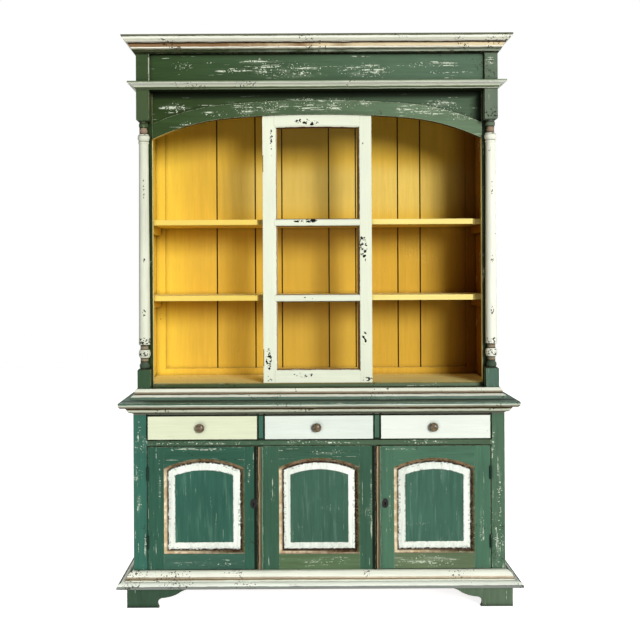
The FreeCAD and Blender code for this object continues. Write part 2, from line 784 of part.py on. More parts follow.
# butt hinges: each a pair of leaves, three knuckles and a pin
door_leaves = []
case_leaves = []
knuckle = "((hinge_length - 1) / 3)"
for place_name, height in (("upper", less(door_top, "hinge_upper_drop")),
                           ("lower", plus(door_bottom, "hinge_lower_rise"))):
    foot = less(height, "hinge_length / 2")
    plate_y = (plus(low_front, "0.05"), plus(low_front, "hinge_leaf_width"))
    tab_y = (plus(hinge_axis_y, "0.6 * hinge_barrel_radius"), plus(low_front, "0.2"))
    case_x = (minus(low_opening), plus(minus(low_opening), "hinge_leaf_thickness"))
    door_x = (less(minus(door_outer), "hinge_leaf_thickness"), minus(door_outer))
    bore = cylinder("hinge_bore_" + place_name, "(hinge_pin_radius + hinge_pin_clearance)", "hinge_length",
                    hinge_axis_x, hinge_axis_y, foot)
    middle = (plus(foot, knuckle, "0.5"), plus(foot, "2 * %s" % knuckle, "0.5"))
    barrel = cylinder("door_knuckle_" + place_name, "hinge_barrel_radius", less(middle[1], middle[0]),
                      hinge_axis_x, hinge_axis_y, middle[0])
    leaf = board("door_leaf_" + place_name, door_x, plate_y, (foot, plus(foot, "hinge_length")))
    tab = board("door_tab_" + place_name, door_x, tab_y, middle)
    blank = fuse("door_hinge_blank_" + place_name, [barrel, leaf, tab])
    door_leaves.append(cut("door_hinge_" + place_name, blank, bore))
    pieces = [
        board("case_leaf_" + place_name, case_x, plate_y, (foot, plus(foot, "hinge_length"))),
        cylinder("hinge_pin_" + place_name, "hinge_pin_radius", "hinge_length",
                 hinge_axis_x, hinge_axis_y, foot),
    ]
    for end, low in (("low", foot), ("high", plus(foot, "2 * %s" % knuckle, "1"))):
        pieces.append(cylinder("case_knuckle_%s_%s" % (place_name, end), "hinge_barrel_radius", knuckle,
                               hinge_axis_x, hinge_axis_y, low))
        pieces.append(board("case_tab_%s_%s" % (place_name, end), case_x, tab_y, (low, plus(low, knuckle))))
    case_leaves.append(fuse("case_hinge_" + place_name, pieces))
door_hinges = group("door_left_hinge_leaves", door_leaves)
nodes.append(door_hinges)
nodes.append(group("cabinet_hinge_leaves",
                   case_leaves + [mirrored(leaf.Label + "_right", leaf) for leaf in case_leaves]))

# rim lock: an oval escutcheon on the face and a hollow case behind the stile
oval = plate("escutcheon_blank", [
    (less(key_x, "0.36 * escutcheon_width"), less(lock_z, "0.366 * escutcheon_height"), 0.607),
    (plus(key_x, "0.36 * escutcheon_width"), less(lock_z, "0.366 * escutcheon_height"), 0.245),
    (plus(key_x, "0.36 * escutcheon_width"), plus(lock_z, "0.366 * escutcheon_height"), 0.607),
    (less(key_x, "0.36 * escutcheon_width"), plus(lock_z, "0.366 * escutcheon_height"), 0.245),
], less(low_front, "escutcheon_thickness"), low_front)
escutcheon = cut("escutcheon", oval, keyhole)
case_right = minus(plus(door_inner, "lock_case_inset"))
case_left = less(case_right, "lock_case_width")
case_y = (low_frame_back, plus(low_frame_back, "lock_case_depth"))
case_z = (less(lock_z, "lock_case_height / 2"), plus(lock_z, "lock_case_height / 2"))
bolt_y_middle = plus(low_frame_back, "lock_case_depth / 2")
bolt_x = (less(case_right, "bolt_length"), case_right)
bolt_y = (less(bolt_y_middle, "bolt_thickness / 2"), plus(bolt_y_middle, "bolt_thickness / 2"))
bolt_z = (less(lock_z, "bolt_width / 2"), plus(lock_z, "bolt_width / 2"))
lock_case = cut("lock_case",
                board("lock_case_blank", (case_left, case_right), case_y, case_z),
                board("lock_case_channel", (less(bolt_x[0], "bolt_clearance"), plus(case_right, "1")),
                      (less(bolt_y[0], "bolt_clearance"), plus(bolt_y[1], "bolt_clearance")),
                      (less(bolt_z[0], "bolt_clearance"), plus(bolt_z[1], "bolt_clearance"))))
door_lock = group("door_left_lock", [escutcheon, lock_case])
bolt = board("door_left_bolt", bolt_x, bolt_y, bolt_z)
nodes += [door_lock, bolt]

# keepers on the back of the centre panel take the shot bolts
keeper_left = minus("centre_half_width - 2")
keeper_x = (keeper_left, plus(keeper_left, "keeper_width"))
keeper_y = (low_frame_back, plus(bolt_y[1], "bolt_clearance + keeper_wall"))
keeper_z = (less(bolt_z[0], "keeper_wall + 1"), plus(bolt_z[1], "keeper_wall + 1"))
keeper = cut("keeper_left",
             board("keeper_blank", keeper_x, keeper_y, keeper_z),
             board("keeper_mouth", (less(keeper_x[0], "1"), plus(keeper_x[1], "1")),
                   (less(bolt_y[0], "1"), plus(bolt_y[1], "bolt_clearance")),
                   (less(bolt_z[0], "1"), plus(bolt_z[1], "1"))))
nodes.append(group("lock_keepers", [keeper, mirrored("keeper_right", keeper)]))

for piece in (door_frame, door_panel, astragal, door_hinges, door_lock, bolt):
    nodes.append(mirrored(piece.Label.replace("left", "right"), piece))

members, bead, panel = panelled_leaf("centre", "0", "centre_half_width", "centre_stile_width",
                                     base_top, door_head, plus(low_front, "centre_setback"))
nodes += [group("centre_frame", members + [bead]), panel]


# ---------------------------------------------------------------- upper case

nodes.append(moulding(
    "upper_base_moulding",
    [(1.0, 0.0), (1.0, 0.17, 0.34), (0.62, 0.38), (0.54, 0.38, -0.20),
     (0.36, 0.64), (0.42, 0.64, 0.28), (0.17, 1.0)],
    "upper_base_projection", "upper_base_height", "lower_height", "upper_half_width", up_front,
    "(frame_thickness + post_width)"))
nodes.append(board("upper_bottom_board", (minus(side_inner), side_inner), (up_frame_back, inner_back),
                   (up_floor, shelf_floor)))

side = board("upper_side_left", (minus(side_outer), minus(side_inner)), (up_frame_back, inner_back),
             (up_floor, frieze_bottom))
nodes += [side, mirrored("upper_side_right", side)]

joints = ["back_joint_%d" % number for number in range(1, 8)]
edges = [minus(side_outer)] + joints + [side_outer]
back_boards = []
for number, (left, right) in enumerate(zip(edges, edges[1:]), start=1):
    gap = "back_joint_gap" if number < len(edges) - 1 else "0"
    name = "upper_back_%d" % number
    back_boards.append(lapped_board(name, (left, less(right, gap)), (up_floor, frieze_top), gap))

# upright strips in the back corners with a low batten between them
batten_y = (less(inner_back, "batten_thickness"), inner_back)
strip_edge = less(side_inner, "corner_strip_width")
strips = [board("upper_back_strip_left", (minus(side_inner), minus(strip_edge)), batten_y,
                (shelf_floor, less(frieze_top, "top_thickness")))]
strips.append(mirrored("upper_back_strip_right", strips[0]))
batten = board("upper_back_batten", (minus(strip_edge), strip_edge), batten_y,
               (shelf_floor, plus(shelf_floor, "batten_height")))
nodes.append(group("upper_back_boards", back_boards + strips + [batten]))

# corner posts: a square block at each end of a turned column
column_height = "(post_height - plinth_block_height - capital_block_height)"
column_foot = "plinth_block_height"
column_head = plus(column_foot, column_height)
FOOT_TURNINGS = [
    (0, 0.72), (1, 0.72, 0.30), (21, 0.72), (22, 0.63), (41, 0.63), (43, 0.80, 0.27), (74, 0.80),
    (75, 0.65), (91, 0.65), (92, 0.93), (96, 0.957),
]
HEAD_TURNINGS = [
    (94, 0.793), (89, 0.793), (88, 0.80, 0.36), (77, 0.80), (76, 0.83, 0.31), (51, 0.83),
    (50, 0.60), (44, 0.565), (42, 0.60, 0.35), (34, 0.60), (32, 0.565), (27, 0.565),
    (26, 0.66, 0.29), (5, 0.66), (4, 0.72), (0, 0.72),
]
profile = [("0", column_foot)]
for step in FOOT_TURNINGS:
    profile.append(("%r * column_radius" % step[1], plus(column_foot, step[0])) + step[2:])
for step in HEAD_TURNINGS:
    profile.append(("%r * column_radius" % step[1], less(column_head, step[0])) + step[2:])
profile.append(("0", column_head))


def square(half):
    return [(minus(half), minus(half)), (half, minus(half)), (half, half), (minus(half), half)]


def block_with_bevels(body, name, bottom, height, bevel_foot, bevel_head):
    """A square block whose inner end eases into the turning with a short bevel."""
    full = square("(post_width / 2)")
    small = square("(post_width / 2 - block_bevel)")
    low = plus(bottom, "block_bevel") if bevel_foot else bottom
    length = less(height, "block_bevel")
    pad(body, sketch(body, name + "_square", "XY_Plane", low, [full]), length)
    if bevel_foot:
        ends = [(bottom, small), (low, full)]
    else:
        ends = [(plus(low, length), full), (plus(bottom, height), small)]
    sections = [sketch(body, "%s_bevel_%d" % (name, number), "XY_Plane", level, [outline])
                for number, (level, outline) in enumerate(ends, start=1)]
    loft = body.newObject("PartDesign::AdditiveLoft", name + "_bevel")
    loft.Profile = sections[0]
    loft.Sections = sections[1:]
    loft.Ruled = True


post = new_body("corner_post_left")
block_with_bevels(post, "plinth_block", "0", "plinth_block_height", False, True)
column = sketch(post, "column_section", "XZ_Plane", "0", [profile])
turning = post.newObject("PartDesign::Revolution", "column_turning")
turning.Profile = column
turning.ReferenceAxis = (column, ["V_Axis"])
turning.Angle = 360
block_with_bevels(post, "capital_block", column_head, "capital_block_height", True, False)
place(post, minus("(upper_half_width - post_width / 2)"), plus(up_front, "post_width / 2"), up_floor)
nodes += [post, mirrored("corner_post_right", post)]

stile = board("upper_stile_left", (minus(side_outer), minus(up_opening)), (post_back, up_frame_back),
              (up_floor, post_top))
nodes += [stile, mirrored("upper_stile_right", stile)]
nodes.append(board("upper_bottom_rail", (minus(up_opening), up_opening), (post_back, up_frame_back),
                   (up_floor, shelf_floor)))

# arched header: a curved band, slightly proud, under a flat fascia. The arch has three
# centres, with a flat middle arc and a tighter haunch arc on each side that meets it smoothly.
crown = less(post_top, "arch_crown_drop")
middle_half = "arch_middle_half_width"
header_radius = "((%s^2 + arch_middle_rise^2) / (2 * arch_middle_rise))" % middle_half
header_centre = less(crown, header_radius)
join_sine = "(%s / %s)" % (middle_half, header_radius)
join_cosine = "((%s - arch_middle_rise) / %s)" % (header_radius, header_radius)
haunch_width = less(up_opening, middle_half)
haunch_rise = "(arch_rise - arch_middle_rise)"
haunch_radius = "((%s^2 + %s^2) / (2 * (%s * %s - %s * %s)))" % (
    haunch_width, haunch_rise, haunch_rise, join_cosine, haunch_width, join_sine)
haunch_x = "((%s - %s) * %s)" % (header_radius, haunch_radius, join_sine)
haunch_z = "(%s + (%s - %s) * %s)" % (header_centre, header_radius, haunch_radius, join_cosine)


def arch_z(half, inset):
    """Height of the middle arc, drawn in by an inset, at some distance from the middle."""
    return "(%s + sqrt((%s - %s)^2 - %s^2))" % (header_centre, header_radius, inset, half)


def arch_edge(outset):
    """The arch from left to right, drawn out by an outset."""
    middle = plus(header_radius, outset)
    haunch = plus(haunch_radius, outset)
    join_x = "(%s * %s)" % (middle, join_sine)
    join_z = "(%s + %s * %s)" % (header_centre, middle, join_cosine)
    end_z = "(%s + sqrt(%s^2 - (%s - %s)^2))" % (haunch_z, haunch, up_opening, haunch_x)
    return [
        (minus(up_opening), end_z, (haunch, -1)),
        (minus(join_x), join_z, (middle, -1)),
        (join_x, join_z, (haunch, -1)),
        (up_opening, end_z),
    ]


def reversed_edge(edge):
    """The same edge from right to left."""
    bends = [(point[2][0], -point[2][1]) for point in edge[:-1]]
    return [point[:2] + (bend,) for point, bend in zip(edge[:0:-1], bends[::-1])] + [edge[0][:2]]


band_top = arch_edge("arch_band_height")
header = plate("arch_header", arch_edge("0") + reversed_edge(band_top),
               less(post_back, "arch_band_proud"), up_frame_back)
nodes.append(header)
nodes.append(plate("upper_fascia", band_top + [(up_opening, post_top), (minus(up_opening), post_top)],
                   post_back, up_frame_back))

# the moulding over the posts is planted round a flat soffit board
mid = moulding(
    "mid_moulding",
    [(0.06, 0.0), (0.06, 0.12, -0.22), (0.66, 0.66), (0.80, 0.66, 0.20), (1.0, 0.80), (1.0, 1.0)],
    "mid_moulding_projection", "mid_moulding_height", post_top, "upper_half_width", up_front,
    "upper_side_inset")
soffit_y = (plus(up_front, "upper_side_inset"), up_frame_back)
mid.Links = mid.Links + [board("mid_soffit", (minus(side_outer), side_outer), soffit_y,
                               (post_top, frieze_bottom))]
nodes.append(mid)

frieze_face = plus(up_front, "frieze_recess")
frieze_inner = "(upper_half_width - post_width)"
frieze_z = (frieze_bottom, frieze_top)
frieze_block = board("frieze_block_left", (minus("upper_half_width"), minus(frieze_inner)),
                     (up_front, post_back), frieze_z)
frieze_return = board("frieze_return_left", (minus(side_outer), minus(side_inner)),
                      (post_back, inner_back), frieze_z)
nodes.append(group("frieze", [
    board("frieze_board", (minus(frieze_inner), frieze_inner),
          (frieze_face, plus(frieze_face, "frieze_thickness")), frieze_z),
    frieze_block,
    mirrored("frieze_block_right", frieze_block),
    frieze_return,
    mirrored("frieze_return_right", frieze_return),
]))
nodes.append(board("top_board", (minus(side_inner), side_inner), (post_back, inner_back),
                   (less(frieze_top, "top_thickness"), frieze_top)))
nodes.append(moulding(
    "cornice",
    [(0.08, 0.0), (0.08, 0.06, 0.40), (0.16, 0.155), (0.24, 0.155), (0.24, 0.24),
     (0.28, 0.24, 0.36), (0.37, 0.36), (0.40, 0.36, -0.24), (0.55, 0.55), (0.55, 0.62),
     (0.64, 0.62, 0.30), (0.91, 0.89), (0.96, 0.89), (1.0, 0.93), (1.0, 1.0)],
    "cornice_projection", "cornice_height", frieze_top, "upper_half_width", up_front,
    "(post_width + top_thickness)"))


# ---------------------------------------------------------------- shelves

# each shelf carries a nosing strip in the two open bays, stopped short at its right end
shelf_front = plus(up_frame_back, "shelf_setback")
board_front = plus(shelf_front, "shelf_nosing_depth")
cleats = []
for name, rise in (("lower", "shelf_one_rise"), ("upper", "shelf_two_rise")):
    height = plus(shelf_floor, rise)
    level = (height, plus(height, "shelf_thickness"))
    left_end = less("shelf_nosing_length", up_opening)
    right_end = less(up_opening, "shelf_nosing_gap")
    nodes.append(group("shelf_" + name, [
        cut("shelf_board_" + name,
            board("shelf_blank_" + name, (minus(side_inner), side_inner), (board_front, inner_back), level),
            group("shelf_notches_" + name, strips)),
        board("shelf_nosing_left_" + name, (minus(up_opening), left_end), (shelf_front, board_front), level),
        board("shelf_nosing_right_" + name, (less(right_end, "shelf_nosing_length"), right_end),
              (shelf_front, board_front), level),
    ]))
    piece = board("shelf_cleat_" + name, (minus(side_inner), less("cleat_width", side_inner)),
                  (board_front, batten_y[0]), (less(height, "cleat_height"), height))
    cleats += [piece, mirrored(piece.Label + "_right", piece)]
nodes.append(group("shelf_cleats", cleats))


# ---------------------------------------------------------------- fixed glazed frame

sight_half = "(glazed_half_width - sash_stile_width)"
sight_bottom = plus(shelf_floor, "sash_bottom_height")
rail_half = plus(sight_half, "sash_bevel")
bevel_back = plus(post_back, "sash_bevel_depth")
rebate_front = plus(post_back, "sash_rebate_depth")
head_radius = less(header_radius, "sash_head_height")
bar_one = plus(shelf_floor, "bar_one_rise")
bar_two = plus(shelf_floor, "bar_two_rise")


def sash_section(edge, outer, sign):
    """Section of a glazed frame member: bevel in front, rebate for the glass behind."""
    def into(amount):
        return plus(edge, amount) if sign > 0 else less(edge, amount)

    return [
        (outer, post_back), (into("sash_bevel"), post_back), (edge, bevel_back), (edge, rebate_front),
        (into("sash_rebate"), rebate_front), (into("sash_rebate"), up_frame_back), (outer, up_frame_back),
    ]


# bottom rail and bars run across behind the coped stiles
bottom_rail = new_body("glazed_bottom_rail")
pad(bottom_rail, sketch(bottom_rail, "bottom_rail_section", "YZ_Plane", "0",
                        [[(deep, high) for high, deep in sash_section(sight_bottom, shelf_floor, -1)]]),
    "2 * %s" % rail_half, symmetric=True)

bars = []
for name, height in (("lower", bar_one), ("upper", bar_two)):
    half = "(sash_bar_width / 2)"
    wide = "(sash_bar_width / 2 + sash_bar_bevel)"
    bar = new_body("glazing_bar_" + name)
    section = [
        (post_back, minus(half)), (bevel_back, minus(wide)), (rebate_front, minus(wide)),
        (rebate_front, minus(less(wide, "sash_rebate"))), (up_frame_back, minus(less(wide, "sash_rebate"))),
        (up_frame_back, less(wide, "sash_rebate")), (rebate_front, less(wide, "sash_rebate")),
        (rebate_front, wide), (bevel_back, wide), (post_back, half),
    ]
    pad(bar, sketch(bar, "bar_section_" + name, "YZ_Plane", "0", [section]),
        "2 * %s" % rail_half, symmetric=True)
    place(bar, z=height)
    bars.append(bar)

# head rail: its section swung about the centre of the arch
head = new_body("glazed_head_swing")
head_section = sketch(head, "head_rail_section", "YZ_Plane", "0",
                      [[(deep, high) for high, deep in sash_section(head_radius, header_radius, 1)]])
swing = head.newObject("PartDesign::Revolution", "head_rail_swing")
swing.Profile = head_section
swing.ReferenceAxis = (head_section, ["H_Axis"])
swing.Midplane = True
bind(swing, "Angle", "2 * asin((%s + 8) / %s)" % (rail_half, head_radius))
place(head, z=header_centre)
trim = board("head_rail_trim", (minus(rail_half), rail_half),
             (less(post_back, "5"), plus(up_frame_back, "5")),
             (less(post_top, "arch_crown_drop + 2 * sash_head_height"), post_top))
head_rail = doc.addObject("Part::Common", "glazed_head_rail")
head_rail.Base = head
head_rail.Tool = trim

stile_blank = new_body("sash_stile_blank")
pad(stile_blank, sketch(stile_blank, "sash_stile_section", "XY_Plane", shelf_floor,
                        [sash_section(minus(sight_half), minus("glazed_half_width"), -1)]),
    less(crown, shelf_floor))
stile = cut("sash_stile_arched", stile_blank, header)
for member in (head_rail, bottom_rail, bars[0], bars[1]):
    stile = cut("sash_stile_coped_to_" + member.Label, stile, member)
plain_stile = mirrored("sash_stile_right", stile)

# two empty hinge mortises in the outer edge of the left stile
edge = minus("glazed_half_width")
for name, rise in (("low", "sash_mortise_low"), ("high", "sash_mortise_high")):
    foot = plus(shelf_floor, rise)
    mortise = board("sash_mortise_" + name, (less(edge, "5"), plus(edge, "sash_mortise_depth")),
                    (less(post_back, "5"), less(up_frame_back, "2")),
                    (foot, plus(foot, "sash_mortise_length")))
    stile = cut("sash_stile_mortised_" + name, stile, mortise)
nodes.append(group("glazed_stiles", [stile, plain_stile]))
nodes += [head_rail, bottom_rail, group("glazing_bars", bars)]

# three panes lie in the rebates against the front lips
glass_half = plus(sight_half, "sash_rebate", "-0.3")
glass_y = (rebate_front, plus(rebate_front, "glass_thickness"))
bar_lip = "(sash_bar_width / 2 + sash_bar_bevel - sash_rebate + 0.3)"
top_pane = arch_z(glass_half, "(sash_head_height - sash_rebate + 0.3)")
levels = [
    (less(sight_bottom, "sash_rebate - 0.3"), less(bar_one, bar_lip)),
    (plus(bar_one, bar_lip), less(bar_two, bar_lip)),
    (plus(bar_two, bar_lip), top_pane),
]
panes = [board("pane_%d" % number, (minus(glass_half), glass_half), glass_y, level)
         for number, level in enumerate(levels, start=1)]
nodes.append(group("glass_panes", panes))


# ---------------------------------------------------------------- check and write

doc.recompute()
for item in doc.Objects:
    if "Invalid" in item.State or "Error" in item.State:
        raise RuntimeError("failed object: %s (%s)" % (item.Label, ", ".join(item.State)))
labels = [node.Label for node in nodes]
if len(set(labels)) != len(labels) or len(labels) > 60:
    raise RuntimeError("node names are not unique, or too many")
for node in nodes:
    if node.Shape.isNull() or not node.Shape.isValid() or not node.Shape.Solids:
        raise RuntimeError("bad shape: " + node.Label)
    node.Shape.exportStep("parts/%s.step" % node.Label)
box = Part.makeCompound([node.Shape for node in nodes]).BoundBox
print(len(nodes), "nodes, overall", round(box.XLength, 2), round(box.YLength, 2), round(box.ZLength, 2))
print("lowest corner", round(box.XMin, 2), round(box.YMin, 2), round(box.ZMin, 2))
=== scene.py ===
import math

import bpy
from mathutils import Matrix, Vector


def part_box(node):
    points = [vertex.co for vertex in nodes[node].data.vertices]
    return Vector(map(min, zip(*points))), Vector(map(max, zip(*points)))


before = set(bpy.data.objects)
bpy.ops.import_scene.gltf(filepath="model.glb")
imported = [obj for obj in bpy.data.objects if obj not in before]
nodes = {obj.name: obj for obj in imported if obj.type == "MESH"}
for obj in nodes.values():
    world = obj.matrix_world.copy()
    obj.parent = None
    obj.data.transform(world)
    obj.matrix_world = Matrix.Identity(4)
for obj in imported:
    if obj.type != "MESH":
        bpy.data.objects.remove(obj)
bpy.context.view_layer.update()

# The looks of the step back cupboard. Every CAD node keeps its mesh and gets a procedural material, and a
# floor, soft light and a camera at the photograph's viewing angle are added. Places are in metres in the
# CAD's frame, with x to the right, y to the back and z up. The paints follow the photograph by height and
# from left to right.

UPRIGHT, LEVEL, DEEP = "z", "x", "y"


# ---------------------------------------------------------------- shader helpers

SEED_STEP = (1.7, 2.3, 3.1)             # how far one seed shifts a noise along x, y and z
EDGE_START, EDGE_FULL = 0.995, 0.86     # cosine between the rounded normal and the true one
NOOK_START, NOOK_FULL = 0.90, 0.42      # how open a place is, 1 in the open
BEVEL_SAMPLES, NOOK_SAMPLES = 4, 5
MIX_SOCKETS = {"RGBA": (6, 7, 2), "FLOAT": (2, 3, 0)}       # the Mix node's two inputs and its output


def rgb(code):
    """A colour written as sRGB hex, as Blender's linear RGBA."""
    channels = [int(code[place:place + 2], 16) / 255 for place in (1, 3, 5)]
    return tuple(c / 12.92 if c <= 0.04045 else ((c + 0.055) / 1.055) ** 2.4 for c in channels) + (1.0,)


class Shader:
    """One material, made of small named steps on the object's own coordinates."""

    def __init__(self, name):
        self.material = bpy.data.materials.new(name)
        self.material.use_nodes = True
        self.tree = self.material.node_tree
        self.tree.nodes.clear()
        self.surface = self.add("ShaderNodeBsdfPrincipled")
        output = self.add("ShaderNodeOutputMaterial")
        self.tree.links.new(self.surface.outputs[0], output.inputs["Surface"])
        place = self.add("ShaderNodeTexCoord")
        self.where = place.outputs["Object"]
        self.x, self.y, self.z = self.split(self.where)
        self.nx, self.ny, self.nz = self.split(place.outputs["Normal"])
        self.height = None
        self.eased = None

    def add(self, kind, **settings):
        """A new node with its settings."""
        node = self.tree.nodes.new(kind)
        for key, value in settings.items():
            setattr(node, key, value)
        return node

    def feed(self, socket, value):
        """Gives a socket a link from another socket, a hex colour or a plain value."""
        if isinstance(value, bpy.types.NodeSocket):
            self.tree.links.new(value, socket)
        elif isinstance(value, str):
            socket.default_value = rgb(value)
        else:
            socket.default_value = value

    def split(self, vector):
        """The three parts of a vector."""
        node = self.add("ShaderNodeSeparateXYZ")
        self.feed(node.inputs[0], vector)
        return node.outputs[0], node.outputs[1], node.outputs[2]

    def math(self, operation, *values):
        """One of Blender's own operations on numbers."""
        node = self.add("ShaderNodeMath", operation=operation)
        for socket, value in zip(node.inputs, values):
            self.feed(socket, value)
        return node.outputs[0]

    def fold(self, operation, values):
        """One operation run through all values, from first to last."""
        total = values[0]
        for value in values[1:]:
            total = self.math(operation, total, value)
        return total

    def plus(self, *values):
        return self.fold("ADD", values)

    def minus(self, a, b):
        return self.math("SUBTRACT", a, b)

    def times(self, *values):
        return self.fold("MULTIPLY", values)

    def either(self, *values):
        """The largest of some values, which joins masks."""
        return self.fold("MAXIMUM", values)

    def absolute(self, value):
        return self.math("ABSOLUTE", value)

    def ease(self, value, low, high, to_low=0.0, to_high=1.0):
        """Follows a value from to_low to to_high while it goes from low to high."""
        node = self.add("ShaderNodeMapRange", interpolation_type="SMOOTHSTEP")
        for name, part in (("Value", value), ("From Min", low), ("From Max", high), ("To Min", to_low),
                           ("To Max", to_high)):
            self.feed(node.inputs[name], part)
        return node.outputs["Result"]

    def above(self, value, edge, soft):
        """1 above an edge and 0 below it."""
        return self.ease(value, edge - soft, edge + soft)

    def below(self, value, edge, soft):
        """1 below an edge and 0 above it."""
        return self.ease(value, edge + soft, edge - soft)

    def between(self, value, low, high, soft):
        """1 between two levels and 0 outside them."""
        return self.times(self.above(value, low, soft), self.below(value, high, soft))

    def near(self, value, place, reach, full):
        """1 within `full` of a place and 0 beyond `reach` of it."""
        return self.ease(self.absolute(self.minus(value, place)), reach, full)

    def noise(self, scale, stretch=(1, 1, 1), detail=3.0, seed=0.0, rough=0.55, warp=0.0):
        """Noise about 0.5 on the object's coordinates; a smaller stretch draws it out along that axis."""
        stretched = self.add("ShaderNodeVectorMath", operation="MULTIPLY_ADD")
        self.feed(stretched.inputs[0], self.where)
        stretched.inputs[1].default_value = [scale * part for part in stretch]
        stretched.inputs[2].default_value = [seed * step for step in SEED_STEP]
        node = self.add("ShaderNodeTexNoise")
        self.feed(node.inputs["Vector"], stretched.outputs[0])
        node.inputs["Scale"].default_value = 1.0
        node.inputs["Detail"].default_value = detail
        node.inputs["Roughness"].default_value = rough
        node.inputs["Distortion"].default_value = warp
        return node.outputs["Fac"]

    def swing(self, noise, amount):
        """Noise made to swing about 0."""
        return self.times(self.minus(noise, 0.5), amount)

    def mixed(self, kind, amount, first, second):
        """Goes from the first value to the second while the amount goes from 0 to 1."""
        start, end, result = MIX_SOCKETS[kind]
        node = self.add("ShaderNodeMix", data_type=kind)
        self.feed(node.inputs[0], amount)
        self.feed(node.inputs[start], first)
        self.feed(node.inputs[end], second)
        return node.outputs[result]

    def mix(self, amount, first, second):
        """A colour between two colours."""
        return self.mixed("RGBA", amount, first, second)

    def choose(self, amount, first, second):
        """A number between two numbers."""
        return self.mixed("FLOAT", amount, first, second)

    def scaled(self, colour, amount):
        """A colour made lighter or darker by a factor. Mixing it with itself lets it be a hex code too."""
        node = self.add("ShaderNodeVectorMath", operation="SCALE")
        self.feed(node.inputs[0], self.mix(0.0, colour, colour))
        self.feed(node.inputs["Scale"], amount)
        return node.outputs[0]

    def soften_edges(self, radius=0.0012):
        """Rounds sharp edges in the shading."""
        node = self.add("ShaderNodeBevel", samples=BEVEL_SAMPLES)
        node.inputs["Radius"].default_value = radius
        self.eased = node.outputs[0]

    def edges(self, radius):
        """Near 1 along edges and corners, and 0 on open faces."""
        bevel = self.add("ShaderNodeBevel", samples=BEVEL_SAMPLES)
        bevel.inputs["Radius"].default_value = radius
        dot = self.add("ShaderNodeVectorMath", operation="DOT_PRODUCT")
        self.feed(dot.inputs[0], bevel.outputs[0])
        self.feed(dot.inputs[1], self.add("ShaderNodeNewGeometry").outputs["Normal"])
        return self.ease(dot.outputs["Value"], EDGE_START, EDGE_FULL)

    def nooks(self, reach):
        """Near 1 deep in corners and gaps, and 0 in the open."""
        node = self.add("ShaderNodeAmbientOcclusion", samples=NOOK_SAMPLES)
        node.inputs["Distance"].default_value = reach
        return self.ease(node.outputs["AO"], NOOK_START, NOOK_FULL)

    def spot(self, x, z, wide, tall, rim):
        """1 in a ragged oval on the front; `wide` and `tall` are half its width and half its height."""
        shifted = self.add("ShaderNodeVectorMath", operation="MULTIPLY_ADD")
        self.feed(shifted.inputs[0], self.where)
        shifted.inputs[1].default_value = (1 / wide, 0, 1 / tall)
        shifted.inputs[2].default_value = (-x / wide, 0, -z / tall)
        far = self.add("ShaderNodeVectorMath", operation="LENGTH")
        self.feed(far.inputs[0], shifted.outputs[0])
        return self.ease(self.plus(far.outputs["Value"], rim), 1.3, 0.2)

    def spots(self, places, seed):
        """1 within places on the front and 0 elsewhere; each is x, z, half its width and half its height."""
        rim = self.swing(self.noise(18, (0.5, 1, 1), 2, seed), 1.8)
        return self.either(*(self.spot(*place, rim) for place in places))

    def raise_by(self, height):
        self.height = height if self.height is None else self.plus(self.height, height)

    def finish(self, colour, rough, bump, depth, **constants):
        """Connects colour, roughness and relief to the surface and gives back the material."""
        self.feed(self.surface.inputs["Base Color"], colour)
        self.feed(self.surface.inputs["Roughness"], rough)
        for name, value in constants.items():
            self.surface.inputs[name.replace("_", " ")].default_value = value
        node = self.add("ShaderNodeBump")
        node.inputs["Strength"].default_value = bump
        node.inputs["Distance"].default_value = depth
        self.feed(node.inputs["Height"], self.height)
        if self.eased is not None:
            self.feed(node.inputs["Normal"], self.eased)
        self.feed(self.surface.inputs["Normal"], node.outputs[0])
        return self.material


def dress(material, *names):
    """Gives one material to CAD nodes."""
    for name in names:
        slots = nodes[name].data.materials
        slots.clear()
        slots.append(material)


# ---------------------------------------------------------------- old paint on wood

PAINT_GLOSS = 0.05
# Colour of painted shade in recesses, under mouldings and beside the astragals.
PAINTED_SHADE_COLOUR = "#10160a"
BARE_LIGHT, BARE_DARK = "#b08a5c", "#6b4a2c"


def drawn_out(s, along, scale, detail=4.0, seed=0.0, warp=0.0, pull=0.06):
    """Noise drawn out along the grain; `along` is an axis, or a mask that is 1 where it stands upright."""
    def one_way(axis):
        return s.noise(scale, [pull if name == axis else 1 for name in "xyz"], detail, seed, warp=warp)

    if isinstance(along, str):
        return one_way(along)
    return s.choose(along, one_way(LEVEL), one_way(UPRIGHT))


def wood_colour(s, along, seed, light=BARE_LIGHT, dark=BARE_DARK):
    """Bare wood, streaked along its grain and darker in broad patches."""
    streaks = drawn_out(s, along, 90, 5, seed + 3.1)
    broad = s.noise(5, seed=seed + 8.0)
    colour = s.mix(s.ease(streaks, 0.35, 0.68), dark, light)
    return s.mix(s.times(s.ease(broad, 0.4, 0.75), 0.45), colour, dark)


def colour_of(s, paint):
    """A paint is a hex colour, or a function that makes its colour on a shader."""
    return paint(s) if callable(paint) else paint


def brushed(s, colour, along, seed, contrast):
    """Faded patches and brush streaks; also gives the three noises that make them, broadest first."""
    patches = s.noise(4.5, seed=seed, detail=4)
    brush = drawn_out(s, along, 60, 4, seed + 1.0, warp=0.4)
    fine = drawn_out(s, along, 240, 3, seed + 2.0)
    shade = s.plus(s.swing(patches, 0.9 * contrast), s.swing(brush, 1.1 * contrast),
                   s.swing(fine, 0.7 * contrast), 1.0)
    return s.scaled(colour, shade), patches, brush, fine


